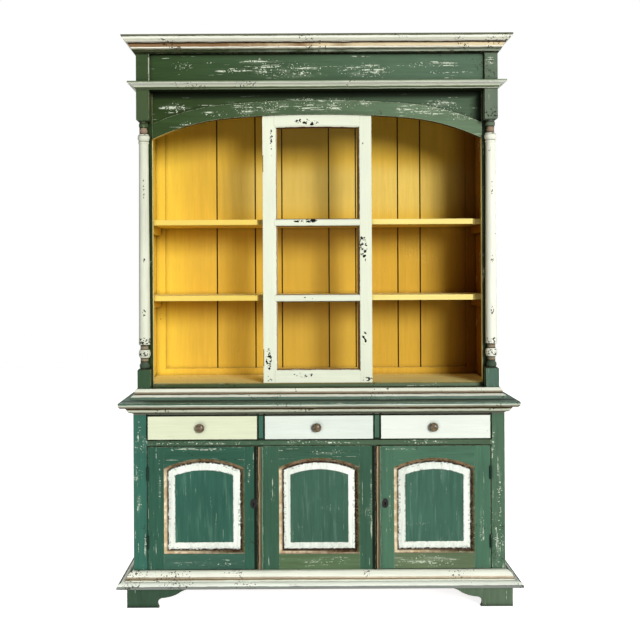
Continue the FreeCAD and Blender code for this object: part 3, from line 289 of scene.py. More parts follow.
def scratched(s, colour, along, seed, amount, tint, cover, spots):
    """Scratches along the grain, dots and smears, in clusters, and mostly at the spots if there are any."""
    cluster = s.noise(6, (0.5, 1, 1), 4, seed + 5.0, rough=0.6)
    cluster = s.ease(cluster, cover, cover + 0.14)
    if spots:
        cluster = s.either(s.times(cluster, 0.4), s.spots(spots, seed + 5.5))
    lines = s.plus(drawn_out(s, along, 165, 1.5, seed + 6.0), s.times(cluster, 0.06))
    broken = s.ease(s.noise(85, detail=3, seed=seed + 6.5, rough=0.7), 0.42, 0.54)
    dots = s.plus(s.noise(190, (0.7, 1, 1), 1.5, seed + 7.0), s.times(cluster, 0.05))
    scratch = s.plus(s.times(s.ease(lines, 0.620, 0.660), broken), s.ease(dots, 0.665, 0.695))
    scratch = s.times(s.math("MINIMUM", scratch, 1.0), s.ease(cluster, 0.02, 0.5), amount)
    stray = s.times(s.ease(lines, 0.69, 0.72), broken, 0.7, amount)
    colour = s.mix(s.either(scratch, stray), colour, tint)
    smear = s.ease(drawn_out(s, along, 60, 5, seed + 8.0, pull=0.15), 0.48, 0.72)
    return s.mix(s.times(smear, cluster, 0.22, amount), colour, tint)


def rubbed(s, colour, along, seed, amount, tint, bare, nook):
    """Paint rubbed off open edges, down to a tint or to bare wood; also gives the mask of it."""
    edge = s.times(s.edges(0.0035), s.minus(1.0, nook))
    ragged = s.noise(60, detail=5, seed=seed + 12.0, rough=0.7)
    worn = s.times(s.ease(s.plus(s.times(edge, 0.42), ragged), 0.84, 0.94), amount)
    to_wood = s.times(s.ease(s.noise(30, seed=seed + 13.0), 0.42, 0.60), bare)
    under = s.mix(to_wood, tint, wood_colour(s, along, seed))
    return s.mix(worn, colour, under), worn


def chipped(s, colour, seed, amount, tint, cover, scale, spots):
    """Chips in clusters, and at the spots if there are any; also gives the mask of them."""
    density = s.times(s.ease(s.noise(8, seed=seed + 10.0), cover, cover + 0.12), 0.92)
    if spots:
        density = s.either(density, s.math("MINIMUM", s.times(s.spots(spots, seed + 10.5), 2.2), 1.1))
    specks = s.noise(scale, detail=5, seed=seed + 9.0, rough=0.6)
    chip = s.times(s.ease(s.plus(specks, s.times(s.minus(density, 1.0), 0.25)), 0.550, 0.565), amount)
    return s.mix(chip, colour, tint), chip


def painted(name, paint, along, seed, contrast=0.5, rough=0.6,
            wear=0.6, wear_colour="#c3c6a4", bare=0.5,
            scratches=0.7, scratch_colour="#e8f0d8", scratch_cover=0.55, scratch_spots=(),
            chips=0.5, chip_colour="#2b1d12", chip_cover=0.53, chip_scale=125, chip_spots=(),
            grime_and_shade="#120f08", grime_and_shade_cover=0.9, painted_shade_mask=None):
    """Old paint on wood: brush streaks, faded patches, scratches, chips, worn edges, and nooks darkened as
    grimy paint and painted shade.

    `along` is the axis of the grain, or makes a mask that is 1 where the grain stands upright. `bare` is how
    much wood shows where paint is rubbed off. A higher cover leaves fewer scratches or chips. The last
    argument makes a mask where shade is painted in.
    """
    s = Shader(name)
    if callable(along):
        along = along(s)
    colour, patches, brush, fine = brushed(s, colour_of(s, paint), along, seed, contrast)
    colour = scratched(s, colour, along, seed, scratches, scratch_colour, scratch_cover, scratch_spots)
    nook = s.nooks(0.02)
    colour, worn = rubbed(s, colour, along, seed, wear, wear_colour, bare, nook)
    colour, chip = chipped(s, colour, seed, chips, chip_colour, chip_cover, chip_scale, chip_spots)
    # Nooks found by ambient occlusion are darkened: grimy paint and painted shade.
    colour = s.mix(s.times(nook, grime_and_shade_cover), colour, grime_and_shade)
    # Painted shade wherever the last argument's mask is 1.
    if painted_shade_mask is not None:
        colour = s.mix(painted_shade_mask(s), colour, PAINTED_SHADE_COLOUR)
    for layer, height in ((fine, 0.3), (brush, 0.5), (chip, -1.0), (worn, -0.5)):
        s.raise_by(s.times(layer, height))
    s.soften_edges()
    return s.finish(colour, s.plus(rough, s.swing(patches, 0.3)), bump=0.45, depth=0.0007,
                    Specular_IOR_Level=PAINT_GLOSS)


# ---------------------------------------------------------------- kinds of paint

def across(left, right):
    """A paint that goes from one colour at the left to another at the right."""
    def paint(s):
        return s.mix(s.ease(s.x, -0.72, 0.72), left, right)
    return paint


def fading(left, right):
    """A paint that changes unevenly along the front."""
    def paint(s):
        place = s.plus(s.x, s.swing(s.noise(9, (1, 0, 0), 4, 6.0), 1.4))
        return s.mix(s.ease(place, -0.4, 0.3), left, right)
    return paint


def banded(lowest, *bands, wobble=0.003, soft=0.0007):
    """Paints in bands up the object, each from its own height, with uneven edges between them."""
    def paint(s):
        z = s.plus(s.z, s.swing(s.noise(45, (0.5, 1, 1), 4, 4.0), wobble))
        colour = colour_of(s, lowest)
        for height, upper in bands:
            upper = colour_of(s, upper)
            colour = s.mix(s.above(z, height, soft), colour, upper)
        return colour
    return paint


def top_faces(upward, rest, height):
    """One paint on faces that look up, from a height on, and another on the rest."""
    def paint(s):
        top = s.times(s.ease(s.nz, 0.8, 0.95), s.above(s.z, height, 0.0004))
        return s.mix(top, rest(s), colour_of(s, upward))
    return paint


def green_returns(front):
    """Dark green on the mouldings' returns along the sides."""
    def paint(s):
        return s.mix(s.ease(s.absolute(s.nx), 0.25, 0.40), front(s), "#2a3c2a")
    return paint


def yellow(s):
    """Warm yellow, paler on shelf fronts; painted light on faces that look up and on the boards at middle
    height, painted shadow at the right end.
    """
    wall = s.mix(s.ease(s.x, -0.48, -0.62), "#deb443", "#eac648")
    # Painted light: boards at middle height, from the middle of the left bay rightwards, are lighter.
    painted_light_on_boards = s.times(s.between(s.z, 1.500, 1.690, 0.05), s.ease(s.x, -0.45, -0.25), 0.40)
    wall = s.mix(painted_light_on_boards, wall, "#f9e184")
    # Darker low down on the right.
    darker_low_right = s.times(s.ease(s.z, 1.47, 1.40), s.ease(s.x, 0.20, 0.25), 0.25)
    wall = s.mix(darker_low_right, wall, "#a5731c")
    # Painted shadow at the right end of the right bay.
    painted_shadow_right_end = s.times(s.ease(s.x, 0.53, 0.65), 0.85)
    wall = s.mix(painted_shadow_right_end, wall, "#7c4407")
    # Painted light: faces that look up are paler.
    tone = s.mix(s.ease(s.nz, 0.6, 0.8), wall, "#fff3a4")
    nosing = s.times(s.ease(s.ny, -0.6, -0.8), s.ease(s.y, 0.10, 0.05))
    return s.mix(nosing, tone, s.mix(s.ease(s.x, -0.2, 0.3), "#f3d56a", "#fbe88c"))


def with_yellow(outer, mask, inner=yellow):
    """Yellow where a mask picks out the faces of the interior."""
    def paint(s):
        return s.mix(mask(s), outer(s), colour_of(s, inner))
    return paint


# ---------------------------------------------------------------- front of the upper case

OLIVE = across("#354b29", "#5b745d")
OLIVE_DARK = across("#30421f", "#4d614b")
BLOCK = across("#3c5030", "#667762")

# Spots are x, z, half the width and half the height of a group of scratches or chips in the photograph.
FRIEZE_SCRATCHES = (
    (-0.408, 2.058, 0.030, 0.004), (-0.218, 2.064, 0.09, 0.014), (-0.325, 2.029, 0.06, 0.009),
    (-0.118, 2.027, 0.13, 0.035), (0.181, 2.027, 0.10, 0.030), (0.450, 2.050, 0.09, 0.014),
    (0.462, 2.016, 0.06, 0.008), (-0.52, 2.050, 0.04, 0.02), (0.667, 2.055, 0.018, 0.02),
)
ARCH_SCRATCHES = (
    (-0.387, 1.867, 0.05, 0.012), (-0.28, 1.883, 0.045, 0.028), (-0.173, 1.893, 0.08, 0.028),
    (-0.041, 1.899, 0.06, 0.035), (0.06, 1.90, 0.10, 0.03), (0.19, 1.905, 0.04, 0.015),
    (0.414, 1.878, 0.11, 0.020), (0.56, 1.850, 0.06, 0.016), (-0.50, 1.83, 0.03, 0.01),
)
FASCIA_SCRATCHES = ARCH_SCRATCHES + ((-0.535, 1.893, 0.06, 0.02), (0.49, 1.899, 0.10, 0.022))

BLOCK_SIDE = 0.6445                         # x of the inner side of the blocks over the columns
SIDE_INSIDE, JAMB_INSIDE = 0.6708, 0.6408   # x of the inner faces of the sides and the jambs
JAMB_BACK = -0.05345                        # y of the backs of the jambs
FLOOR_TOP = 0.8208                          # z of the top of the bottom rail


def frieze_paint(s):
    """Olive with paler blocks over the columns, the left one with a pale line along its side, partly worn
    paint and partly painted highlight.
    """
    colour = s.mix(s.above(s.absolute(s.x), BLOCK_SIDE, 0.0005), OLIVE(s), BLOCK(s))
    # Worn paint and painted highlight along the inner side of the left block.
    strip = s.between(s.x, -BLOCK_SIDE - 0.0030, -BLOCK_SIDE + 0.0005, 0.0005)
    strip = s.times(strip, s.ease(s.noise(30, seed=8.0), 0.36, 0.46))
    return s.mix(s.times(strip, 0.85), colour, "#dde2ca")


def painted_shade_under_moulding(s):
    """Painted shadow under the moulding over the arch and in the corner at its right."""
    return s.times(s.either(s.ease(s.z, 1.917, 1.937), s.ease(s.x, 0.585, 0.630)), 0.91)


def faces_down(s):
    """The underside of the arch."""
    return s.ease(s.nz, -0.4, -0.7)


def shaded_underside_yellow(s):
    """Painted shade on the underside of the arch: brown apart from its left end."""
    return s.mix(s.ease(s.x, -0.60, -0.50), "#d8b95a", "#4a3514")


def side_inside(s):
    """The inner faces of the sides."""
    return s.below(s.absolute(s.x), SIDE_INSIDE, 0.0004)


def jamb_inside(s):
    """The inner faces and the backs of the jambs."""
    return s.either(s.below(s.absolute(s.x), JAMB_INSIDE, 0.0004), s.above(s.y, JAMB_BACK, 0.00015))


def floor_level(s):
    """The top of the bottom rail, level with the floor behind it."""
    return s.above(s.z, FLOOR_TOP, 0.0002)


dress(painted("frieze_paint", frieze_paint, LEVEL, 1.0, scratches=0.85, scratch_spots=FRIEZE_SCRATCHES,
              scratch_cover=0.60), "frieze")
dress(painted("fascia_paint", OLIVE_DARK, LEVEL, 3.0, scratches=0.75, scratch_spots=FASCIA_SCRATCHES,
              scratch_cover=0.60, painted_shade_mask=painted_shade_under_moulding), "upper_fascia")
HEADER = with_yellow(across("#354926", "#6a8064"), faces_down, shaded_underside_yellow)
dress(painted("header_paint", HEADER, LEVEL, 4.0, wear=0.95, wear_colour="#c9d0b2", bare=0.25,
              scratches=0.8, scratch_spots=ARCH_SCRATCHES, scratch_cover=0.62), "arch_header")
dress(painted("side_paint", with_yellow(OLIVE, side_inside), UPRIGHT, 5.0),
      "upper_side_left", "upper_side_right")
dress(painted("jamb_paint", with_yellow(OLIVE_DARK, jamb_inside, "#fff0a8"), UPRIGHT, 6.0, bare=0.1,
              grime_and_shade="#0d0e06"), "upper_stile_left", "upper_stile_right")
FLOOR_RAIL = banded(across("#4a5a38", "#6f8268"), (0.8165, "#77703e"))
dress(painted("floor_rail_paint", with_yellow(FLOOR_RAIL, floor_level), LEVEL, 7.0, grime_and_shade_cover=0.35),
      "upper_bottom_rail")


# ---------------------------------------------------------------- columns and glazed frame

# The left column's shaft is painted greyer than the right one's, as painted shade.
SHAFT = across("#dfe2cd", "#f8fae8")
CAP = across("#48583a", "#6a7865")
RING = "#2a2115"
COLUMN = banded(
    across("#3d573e", "#557161"),
    (0.8785, RING), (0.8805, "#4b5a48"), (0.9075, RING), (0.9105, "#8f8468"), (0.9205, RING),
    (0.9240, SHAFT), (0.9550, RING), (0.9580, "#94896e"), (0.9690, RING), (0.9740, SHAFT),
    (1.7560, "#77735f"), (1.7578, SHAFT), (1.7790, "#5d5846"), (1.7808, SHAFT), (1.7870, RING),
    (1.7895, "#a08a74"), (1.8090, RING), (1.8120, CAP), (1.8260, RING), (1.8280, CAP),
    wobble=0.004, soft=0.0010)
COLUMN_CHIPS = tuple(
    (x, z, wide, tall)
    for x in (-0.668, 0.672)
    for z, wide, tall in ((1.565, 0.004, 0.045), (0.987, 0.030, 0.016), (0.940, 0.030, 0.012),
                          (1.785, 0.020, 0.004), (1.10, 0.008, 0.02), (1.30, 0.006, 0.012)))
dress(painted("column_paint", COLUMN, UPRIGHT, 8.0, contrast=0.35, wear=0.7, scratches=0.35, chips=0.95,
              chip_colour="#1d1710", chip_cover=0.58, chip_spots=COLUMN_CHIPS),
      "corner_post_left", "corner_post_right")

CREAM = "#ebf0d8"
SASH_CHIPS = (
    (-0.037, 1.838, 0.050, 0.016), (-0.178, 1.775, 0.008, 0.055), (0.179, 1.745, 0.006, 0.02),
    (-0.045, 1.451, 0.045, 0.008), (0.181, 1.345, 0.018, 0.055), (-0.035, 1.149, 0.030, 0.008),
    (0.181, 0.985, 0.010, 0.050), (-0.192, 0.905, 0.016, 0.060), (-0.195, 0.838, 0.020, 0.015),
    (-0.055, 0.852, 0.040, 0.012), (0.190, 0.835, 0.025, 0.008),
)
UPRIGHT_BEVEL, LEVEL_BEVEL, LEFT_BEVEL = -0.0738, -0.0712, -0.0700      # y where the dark bevel on each begins


def sash_paint(s):
    """Cream members whose bevels beside the glass are brown with old putty, with painted light on the putty
    and a dark line along the glass.
    """
    y = s.plus(s.y, s.swing(s.noise(60, seed=3.0), 0.003))
    left = s.times(s.ease(s.x, -0.150, -0.154), s.ease(s.nx, 0.15, 0.35))
    level = s.times(s.ease(s.absolute(s.nz), 0.15, 0.35), s.ease(s.absolute(s.nx), 0.35, 0.15))
    start = s.choose(left, s.choose(level, UPRIGHT_BEVEL, LEVEL_BEVEL), LEFT_BEVEL)
    depth = s.minus(y, start)
    line = s.ease(depth, 0.0012, 0.0005)
    # Painted light: the putty is darker where it faces down, lighter where it faces up, and lighter still
    # where it faces right on the left stile.
    putty = s.mix(s.ease(s.nz, -0.3, 0.3), "#4c3018", "#8a6a3e")
    putty = s.mix(left, putty, "#b89c7e")
    return s.mix(s.above(depth, 0, 0.0003), CREAM, s.mix(line, putty, "#22170c"))


SASH = {"contrast": 0.14, "wear": 0.45, "wear_colour": "#8f8a70",
        "scratches": 0.25, "scratch_colour": "#fdfdf0",
        "chips": 1.0, "chip_colour": "#0d0a07", "chip_cover": 0.66, "chip_scale": 70,
        "chip_spots": SASH_CHIPS, "grime_and_shade": "#3a2c18"}
dress(painted("sash_upright", sash_paint, UPRIGHT, 9.0, **SASH), "glazed_stiles")
dress(painted("sash_level", sash_paint, LEVEL, 10.0, **SASH),
      "glazed_head_rail", "glazed_bottom_rail", "glazing_bars")


# ---------------------------------------------------------------- mouldings and counter

WHITES = {"contrast": 0.3, "wear": 0.55, "wear_colour": "#7d7a5e",
          "scratches": 0.32, "scratch_colour": "#77735a",
          "chips": 0.9, "chip_colour": "#2d2416", "chip_cover": 0.50, "grime_and_shade_cover": 0.15}
CLEANER_WHITES = {**WHITES, "contrast": 0.15, "wear": 0.35, "scratches": 0.15, "grime_and_shade_cover": 0.0}

MID_MOULDING = banded(
    # The lowest band is painted shade on the moulding's underside.
    "#222d18",
    (1.9560, across("#68745a", "#c4ccb7")),
    (1.9583, across("#364027", "#56604a")),
    (1.9622, "#7a8566"),
    (1.9652, "#f2fae0"),
    (1.9672, "#dfe8ce"),
    (1.9700, "#fdfff2"),
    (1.9772, across("#93a083", "#b5c2a6")),
    (1.9810, across("#4b593c", "#64755c")))
CORNICE = banded(
    # The lowest band is painted shadow at the bottom of the cornice.
    "#0e1705",
    (2.0968, fading("#3a442b", "#a3ac97")),
    (2.1035, "#2c331d"),
    (2.1070, "#b1b19a"),
    (2.1112, "#fffdec"),
    (2.1150, fading("#94734f", "#f2dfb4")),
    (2.1258, "#2b1b09"),
    (2.1312, "#fdfae8"),
    (2.1370, "#dfe0c8"),
    (2.1420, "#fdffee"),
    (2.1500, "#666a53"),
    wobble=0.004)
UPPER_BASE = banded(
    across("#5f7563", "#6f8575"),
    (0.7763, "#eceedd"),
    (0.7832, "#3f331b"),
    (0.7872, "#8b7d66"),
    (0.7915, "#bdb5a0"),
    (0.7950, "#eff2de"))
COUNTER = banded(
    "#4a3d24",
    (0.7490, "#8f8a78"),
    (0.7535, "#aab09b"),
    (0.7568, "#dfe9d8"),
    (0.7594, across("#44604f", "#62796b")))
COUNTER_MOULDING = banded(
    "#5d634f",
    (0.7265, "#8a8f7c"),
    (0.7300, "#d0d4be"),
    (0.7375, "#7a705a"),
    (0.7405, "#3a3019"),
    wobble=0.004)
BASE = banded(
    "#868b84",
    (0.0885, "#f8fdee"),
    (0.1019, across("#aca58c", "#e0e0c8")),
    (0.1044, "#6f6347"),
    (0.1081, across("#a6977d", "#dccaae")),
    (0.1118, across("#b8ad9c", "#eee5cf")),
    (0.1146, "#f8fae8"),
    (0.1315, "#cdd3bf"),
    wobble=0.004)

COUNTER_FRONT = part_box("counter_top")[0][1]
COUNTER_TOP, UPPER_BASE_TOP = 0.7630, 0.8052            # z from which the tops have a paint of their own


def counter_top_face(s):
    """Bluish green with a dark line across it before the upper case."""
    line = s.between(s.y, COUNTER_FRONT + 0.050, COUNTER_FRONT + 0.094, 0.008)
    return s.mix(s.times(line, 0.8), across("#587361", "#708878")(s), "#14211a")


dress(painted("mid_moulding_paint", MID_MOULDING, LEVEL, 11.0, **CLEANER_WHITES), "mid_moulding")
dress(painted("cornice_paint", CORNICE, LEVEL, 12.0, **WHITES), "cornice")
dress(painted("upper_base_paint", top_faces("#3e4b30", green_returns(UPPER_BASE), UPPER_BASE_TOP),
              LEVEL, 13.0, **WHITES), "upper_base_moulding")
dress(painted("counter_paint", top_faces(counter_top_face, COUNTER, COUNTER_TOP), LEVEL, 14.0, wear=0.8,
              scratches=0.8, scratch_colour="#c9cdc2", chips=0.6, grime_and_shade_cover=0.15), "counter_top")
dress(painted("counter_moulding_paint", COUNTER_MOULDING, LEVEL, 15.0, **WHITES), "counter_moulding")
dress(painted("base_paint", green_returns(BASE), LEVEL, 16.0, **WHITES), "base_moulding")


# ---------------------------------------------------------------- interior of the upper case

INSIDE = {"contrast": 0.22, "wear": 0.35, "wear_colour": "#c08a2c",
          "scratches": 0.12, "scratch_colour": "#fbe08a",
          "chips": 0.6, "chip_colour": "#4a2f12", "chip_cover": 0.63,
          "grime_and_shade": "#5a3508", "grime_and_shade_cover": 0.45}
BOARD_JOINTS = (-0.415, -0.254, -0.142, 0.055, 0.168, 0.345, 0.439)
BOARD_FRONT, JOINT_BOTTOM, BOARD_BACK = 0.2490, 0.2504, 0.2585          # y, from the front to the back
BOARD_LIGHT, BOARD_DARK = "#a5845a", "#80623f"


def back_paint(s):
    """Yellow boards with dark joints, and bare wood behind."""
    joint = s.either(*(s.near(s.x, x, 0.0036, 0.0020) for x in BOARD_JOINTS))
    front = s.mix(s.times(joint, s.ease(s.y, BOARD_FRONT, BOARD_FRONT + 0.0005)), yellow(s), "#2a1308")
    front = s.mix(s.ease(s.y, JOINT_BOTTOM, JOINT_BOTTOM + 0.0004), front, "#1c0d06")
    behind = s.mix(s.times(joint, 0.8), wood_colour(s, UPRIGHT, 2.0, BOARD_LIGHT, BOARD_DARK), "#2b1c10")
    return s.mix(s.ease(s.y, BOARD_BACK, BOARD_BACK + 0.0010), front, behind)


dress(painted("inside_upright", back_paint, UPRIGHT, 20.0, **INSIDE), "upper_back_boards")
dress(painted("inside_level", yellow, LEVEL, 21.0, **INSIDE),
      "shelf_lower", "shelf_upper", "upper_bottom_board")
dress(painted("inside_deep", yellow, DEEP, 22.0, **INSIDE), "shelf_cleats")


# ---------------------------------------------------------------- case and drawers below

STILE_SIDE = 0.645                      # x of the inner side of the corner stiles
DIVIDER_SIDES = (0.205, 0.231)          # x of the sides of the dividers between the drawers
DRAWER_BOTTOM, DOOR_TOP = 0.624, 0.598  # z of the edges of the openings
FACE_SCRATCHES = (
    (-0.45, 0.610, 0.18, 0.006), (0.0, 0.611, 0.17, 0.008), (0.405, 0.612, 0.09, 0.009),
    (-0.676, 0.665, 0.012, 0.05), (-0.676, 0.375, 0.010, 0.05), (0.677, 0.45, 0.010, 0.12),
    (0.672, 0.25, 0.012, 0.08), (-0.655, 0.22, 0.006, 0.05), (0.655, 0.60, 0.008, 0.06),
)


def face_grain(s):
    """Upright on the corner stiles and the dividers between the drawers, and level on the rails."""
    across_x = s.absolute(s.x)
    stiles = s.above(across_x, STILE_SIDE, 0.0005)
    dividers = s.between(across_x, DIVIDER_SIDES[0] - 0.0005, DIVIDER_SIDES[1] + 0.0005, 0.0003)
    return s.either(stiles, s.times(dividers, s.between(s.z, DRAWER_BOTTOM + 0.0005, 0.7135, 0.0003)))


def face_paint(s):
    """Rails and stiles in two greens, with a grey line under the counter moulding."""
    rails = s.mix(s.ease(s.x, -0.6, 0.6), "#47624c", "#52674f")
    stiles = s.mix(s.ease(s.x, -0.72, 0.72), "#3a6a5a", "#526f58")
    colour = s.mix(face_grain(s), rails, stiles)
    return s.mix(s.between(s.z, 0.7175, 0.7235, 0.0006), colour, "#747568")


def painted_shade_round_openings(s):
    """Painted shade along the edges of the drawer and door openings and under the counter moulding."""
    across_x = s.absolute(s.x)
    sides = (STILE_SIDE, *reversed(DIVIDER_SIDES))
    beside = s.either(*(s.near(across_x, side, 0.0058, 0.0042) for side in sides))
    beside = s.times(beside, s.between(s.z, 0.6185, 0.7200, 0.0005))
    level = s.either(s.near(s.z, DRAWER_BOTTOM, 0.0056, 0.0040), s.between(s.z, 0.7120, 0.7172, 0.0008),
                     s.times(s.near(s.z, DOOR_TOP, 0.0048, 0.0030), 0.85))
    level = s.times(level, s.ease(across_x, 0.6510, 0.6495))
    door = s.times(s.near(across_x, STILE_SIDE, 0.0044, 0.0026),
                   s.ease(s.z, DOOR_TOP + 0.002, DOOR_TOP), 0.8)
    uneven = s.ease(s.noise(35, detail=4, seed=1.5), 0.30, 0.55, 0.65, 1.0)
    return s.times(s.either(beside, level, door), uneven, 0.95)


def drawer_paint(tone):
    """A pale front with painted shade on its faces that don't look to the front and along its top edge."""
    def paint(s):
        return s.mix(s.either(s.ease(s.ny, -0.8, -0.4), s.above(s.z, 0.7117, 0.0005)), tone, "#2b241a")
    return paint


dress(painted("olive_boards", across("#3b5240", "#60735c"), UPRIGHT, 2.0), "feet")
dress(painted("face_frame_paint", face_paint, face_grain, 30.0, wear=0.8, scratches=0.8, scratch_cover=0.56,
              scratch_spots=FACE_SCRATCHES, painted_shade_mask=painted_shade_round_openings), "lower_face_frame")
dress(painted("lower_side_paint", across("#355c4b", "#4b6d58"), UPRIGHT, 31.0),
      "lower_side_left", "lower_side_right")
for number, (name, tone) in enumerate((("left", "#e2e7c7"), ("middle", "#e5ede2"), ("right", "#eff5e9"))):
    dress(painted("drawer_front_" + name, drawer_paint(tone), LEVEL, 70.0 + number, contrast=0.16, wear=0.6,
                  wear_colour="#6f6a50", scratches=0.2, scratch_colour="#b9b99a", chips=0.7, chip_cover=0.60,
                  grime_and_shade_cover=0.6), "drawer_%s_front" % name)


# ---------------------------------------------------------------- doors and the fixed middle front

OPENING = 0.1515                        # half the width of the opening round a panel
BEAD_SIDE = 0.1560                      # half the width over the bead in it
LOW_RAIL_TOP = 0.198
BEAD_FRONT, BEAD_STEP, BEAD_FOOT = -0.2076, -0.2060, -0.2045            # y, from the front to the back
PANEL_QUIRK, PANEL_FIELD = -0.2002, -0.20605                            # y of the bevel's two ends

# Each leaf has the x of its middle, its colours, how far it is set back, the x of the right side of the
# painted shadow beside its astragal, and its groups of scratches.
LEAVES = {
    "door_left": {
        "centre": -0.43275, "stile": "#345b4a", "low_rail": "#3d6051", "field": "#366152", "setback": 0.0,
        "shadow_strip": -0.2355,
        "scratches": ((-0.36, 0.155, 0.05, 0.010), (-0.45, 0.585, 0.12, 0.006), (-0.265, 0.50, 0.006, 0.05),
                      (-0.60, 0.45, 0.004, 0.10)),
    },
    "centre": {
        "centre": 0.0, "stile": "#3d5f4b", "low_rail": "#5a7150", "field": "#416453", "setback": 0.0004,
        "shadow_strip": 0.2085,
        "scratches": ((0.03, 0.165, 0.09, 0.018), (-0.175, 0.43, 0.008, 0.05), (0.06, 0.575, 0.10, 0.010),
                      (0.195, 0.38, 0.006, 0.12)),
    },
    "door_right": {
        "centre": 0.43275, "stile": "#4e735c", "low_rail": "#627355", "field": "#426656", "setback": 0.0,
        "shadow_strip": None,
        "scratches": ((0.43, 0.165, 0.11, 0.020), (0.30, 0.585, 0.06, 0.005), (0.61, 0.30, 0.008, 0.09),
                      (0.265, 0.35, 0.005, 0.08)),
    },
}


def leaf_grain(leaf):
    """Upright on the stiles of a leaf, and level on its rails."""
    return lambda s: s.above(s.absolute(s.minus(s.x, leaf["centre"])), OPENING, 0.0005)


def bead_colour(s, across_x, patchy, setback):
    """A worn stepped bead, painted lighter on its left and bottom and darker on its right and top as painted
    light, with painted shade on its deepest step.
    """
    left = s.mix(patchy, "#d3b78d", "#f7e6c5")
    right = s.mix(s.above(s.y, BEAD_STEP + setback, 0.0002), "#52603f", "#4a3520")
    top = s.mix(s.times(patchy, 0.5), "#57492f", "#a98464")
    low = s.mix(patchy, "#9c7c66", "#c3a48f")
    bead = s.mix(s.ease(across_x, -0.1, 0.1), left, right)
    bead = s.mix(s.ease(s.z, 0.505, 0.520), bead, top)
    at_bottom = s.times(s.below(s.z, LOW_RAIL_TOP - 0.001, 0.0015),
                        s.ease(s.absolute(across_x), BEAD_SIDE, BEAD_SIDE - 0.0030))
    bead = s.mix(at_bottom, bead, low)
    # Painted shade on the deepest step, stronger towards the right.
    shaded_step = s.times(s.above(s.y, BEAD_FOOT + setback, 0.0002), s.ease(across_x, -0.15, -0.13, 0.25, 0.8))
    return s.mix(shaded_step, bead, "#3a2212")


def leaf_frame(leaf):
    """Painted members, and a bead in the recess round the opening."""
    def paint(s):
        across_x = s.minus(s.x, leaf["centre"])
        rail = s.times(s.ease(s.z, LOW_RAIL_TOP, LOW_RAIL_TOP - 0.004),
                       s.below(s.absolute(across_x), OPENING, 0.0006))
        member = s.mix(rail, leaf["stile"], leaf["low_rail"])
        patchy = s.ease(s.noise(45, detail=4, seed=leaf["centre"] + 5.0), 0.42, 0.60)
        bead = bead_colour(s, across_x, patchy, leaf["setback"])
        recessed = s.between(s.y, BEAD_FRONT + leaf["setback"], -0.190, 0.0002)
        beside = s.ease(s.absolute(across_x), BEAD_SIDE, BEAD_SIDE - 0.0040)
        return s.mix(s.times(recessed, beside), member, bead)
    return paint


def leaf_panel(field):
    """A quirk painted dark as painted shade, a pale bevel with ragged edges, and a green field."""
    def paint(s):
        y = s.plus(s.y, s.swing(s.noise(110, detail=4, seed=2.0, rough=0.7), 0.0024))
        strokes = s.ease(s.noise(75, (1, 1, 0.1), 3, 4.0), 0.50, 0.70)
        green = s.mix(s.times(strokes, 0.32), field, "#6f9480")
        # Painted shade: the quirk behind the bevel is dark.
        colour = s.mix(s.below(y, PANEL_QUIRK, 0.0002), "#37261a", "#f2f8ec")
        rims = s.either(s.between(s.y, -0.2020, -0.2002, 0.0004), s.between(s.y, -0.2062, -0.2052, 0.0003))
        nicks = s.times(s.ease(s.noise(120, (0.7, 1, 1), 3, 7.0), 0.53, 0.58), rims,
                        s.ease(s.noise(14, seed=9.0), 0.4, 0.6), 0.55)
        colour = s.mix(nicks, colour, "#4b5a48")
        colour = s.mix(s.below(y, PANEL_FIELD, 0.00015), colour, green)
        return s.mix(s.ease(s.ny, 0.3, 0.5), colour, s.mix(s.times(strokes, 0.25), "#3b5a49", field))
    return paint


def shadow_strip_before(x):
    """Painted shadow along the left of an astragal."""
    return lambda s: s.times(s.between(s.x, x - 0.010, x, 0.0012), 0.93)


def astragal_paint(middle, crest, side):
    """Worn through along its round, with painted shade on its left and a painted highlight on its painted
    right side.
    """
    stripes = ((-0.0062, crest), (-0.0030, "#6c6049"), (0.0030, "#3e4a38"), (0.0068, "#6d917a"),
               (0.0098, side))

    def paint(s):
        off = s.plus(s.minus(s.x, middle), s.swing(s.noise(60, (1, 1, 0.3), seed=6.0), 0.007))
        colour = "#38352a"
        for place, further in stripes:
            colour = s.mix(s.above(off, place, 0.0008), colour, further)
        return colour
    return paint


for number, (name, leaf) in enumerate(LEAVES.items()):
    dress(painted(name + "_frame_paint", leaf_frame(leaf), leaf_grain(leaf), 40.0 + number, wear=0.6,
                  scratches=0.6, scratch_cover=0.58, scratch_spots=leaf["scratches"], grime_and_shade_cover=0.35,
                  painted_shade_mask=None if leaf["shadow_strip"] is None else shadow_strip_before(leaf["shadow_strip"])), name + "_frame")
    dress(painted(name + "_panel_paint", leaf_panel(leaf["field"]), UPRIGHT, 50.0 + number, wear=0.6,
                  wear_colour="#2a2016", scratches=0.3, scratch_cover=0.62, chips=0.4, chip_colour="#2a2016",
                  chip_cover=0.62), name + "_panel")

ASTRAGALS = (("left", -0.222, "#b49c78", "#3d5f4a"), ("right", 0.222, "#c5a985", "#4c6650"))
for number, (name, middle, crest, side) in enumerate(ASTRAGALS):
    dress(painted("astragal_%s_paint" % name, astragal_paint(middle, crest, side), UPRIGHT, 60.0 + number,
                  wear=0.4, scratches=0.2, scratch_cover=0.60), "door_%s_astragal" % name)


# ---------------------------------------------------------------- bare wood, iron and glass

def wood(name, along, seed, light=BARE_LIGHT, dark=BARE_DARK, rough=0.7):
    """Bare wood with its grain in relief, and corners darkened partly as grimy wood and partly as painted
    shade.
    """
    s = Shader(name)
    colour = wood_colour(s, along, seed, light, dark)
    # Corners found by ambient occlusion are darkened: grimy wood and painted shade.
    colour = s.mix(s.times(s.nooks(0.03), 0.6), colour, "#1c130b")
    s.raise_by(drawn_out(s, along, 220, 4, seed + 3.0))
    s.soften_edges()
    return s.finish(colour, rough, bump=0.4, depth=0.0006)


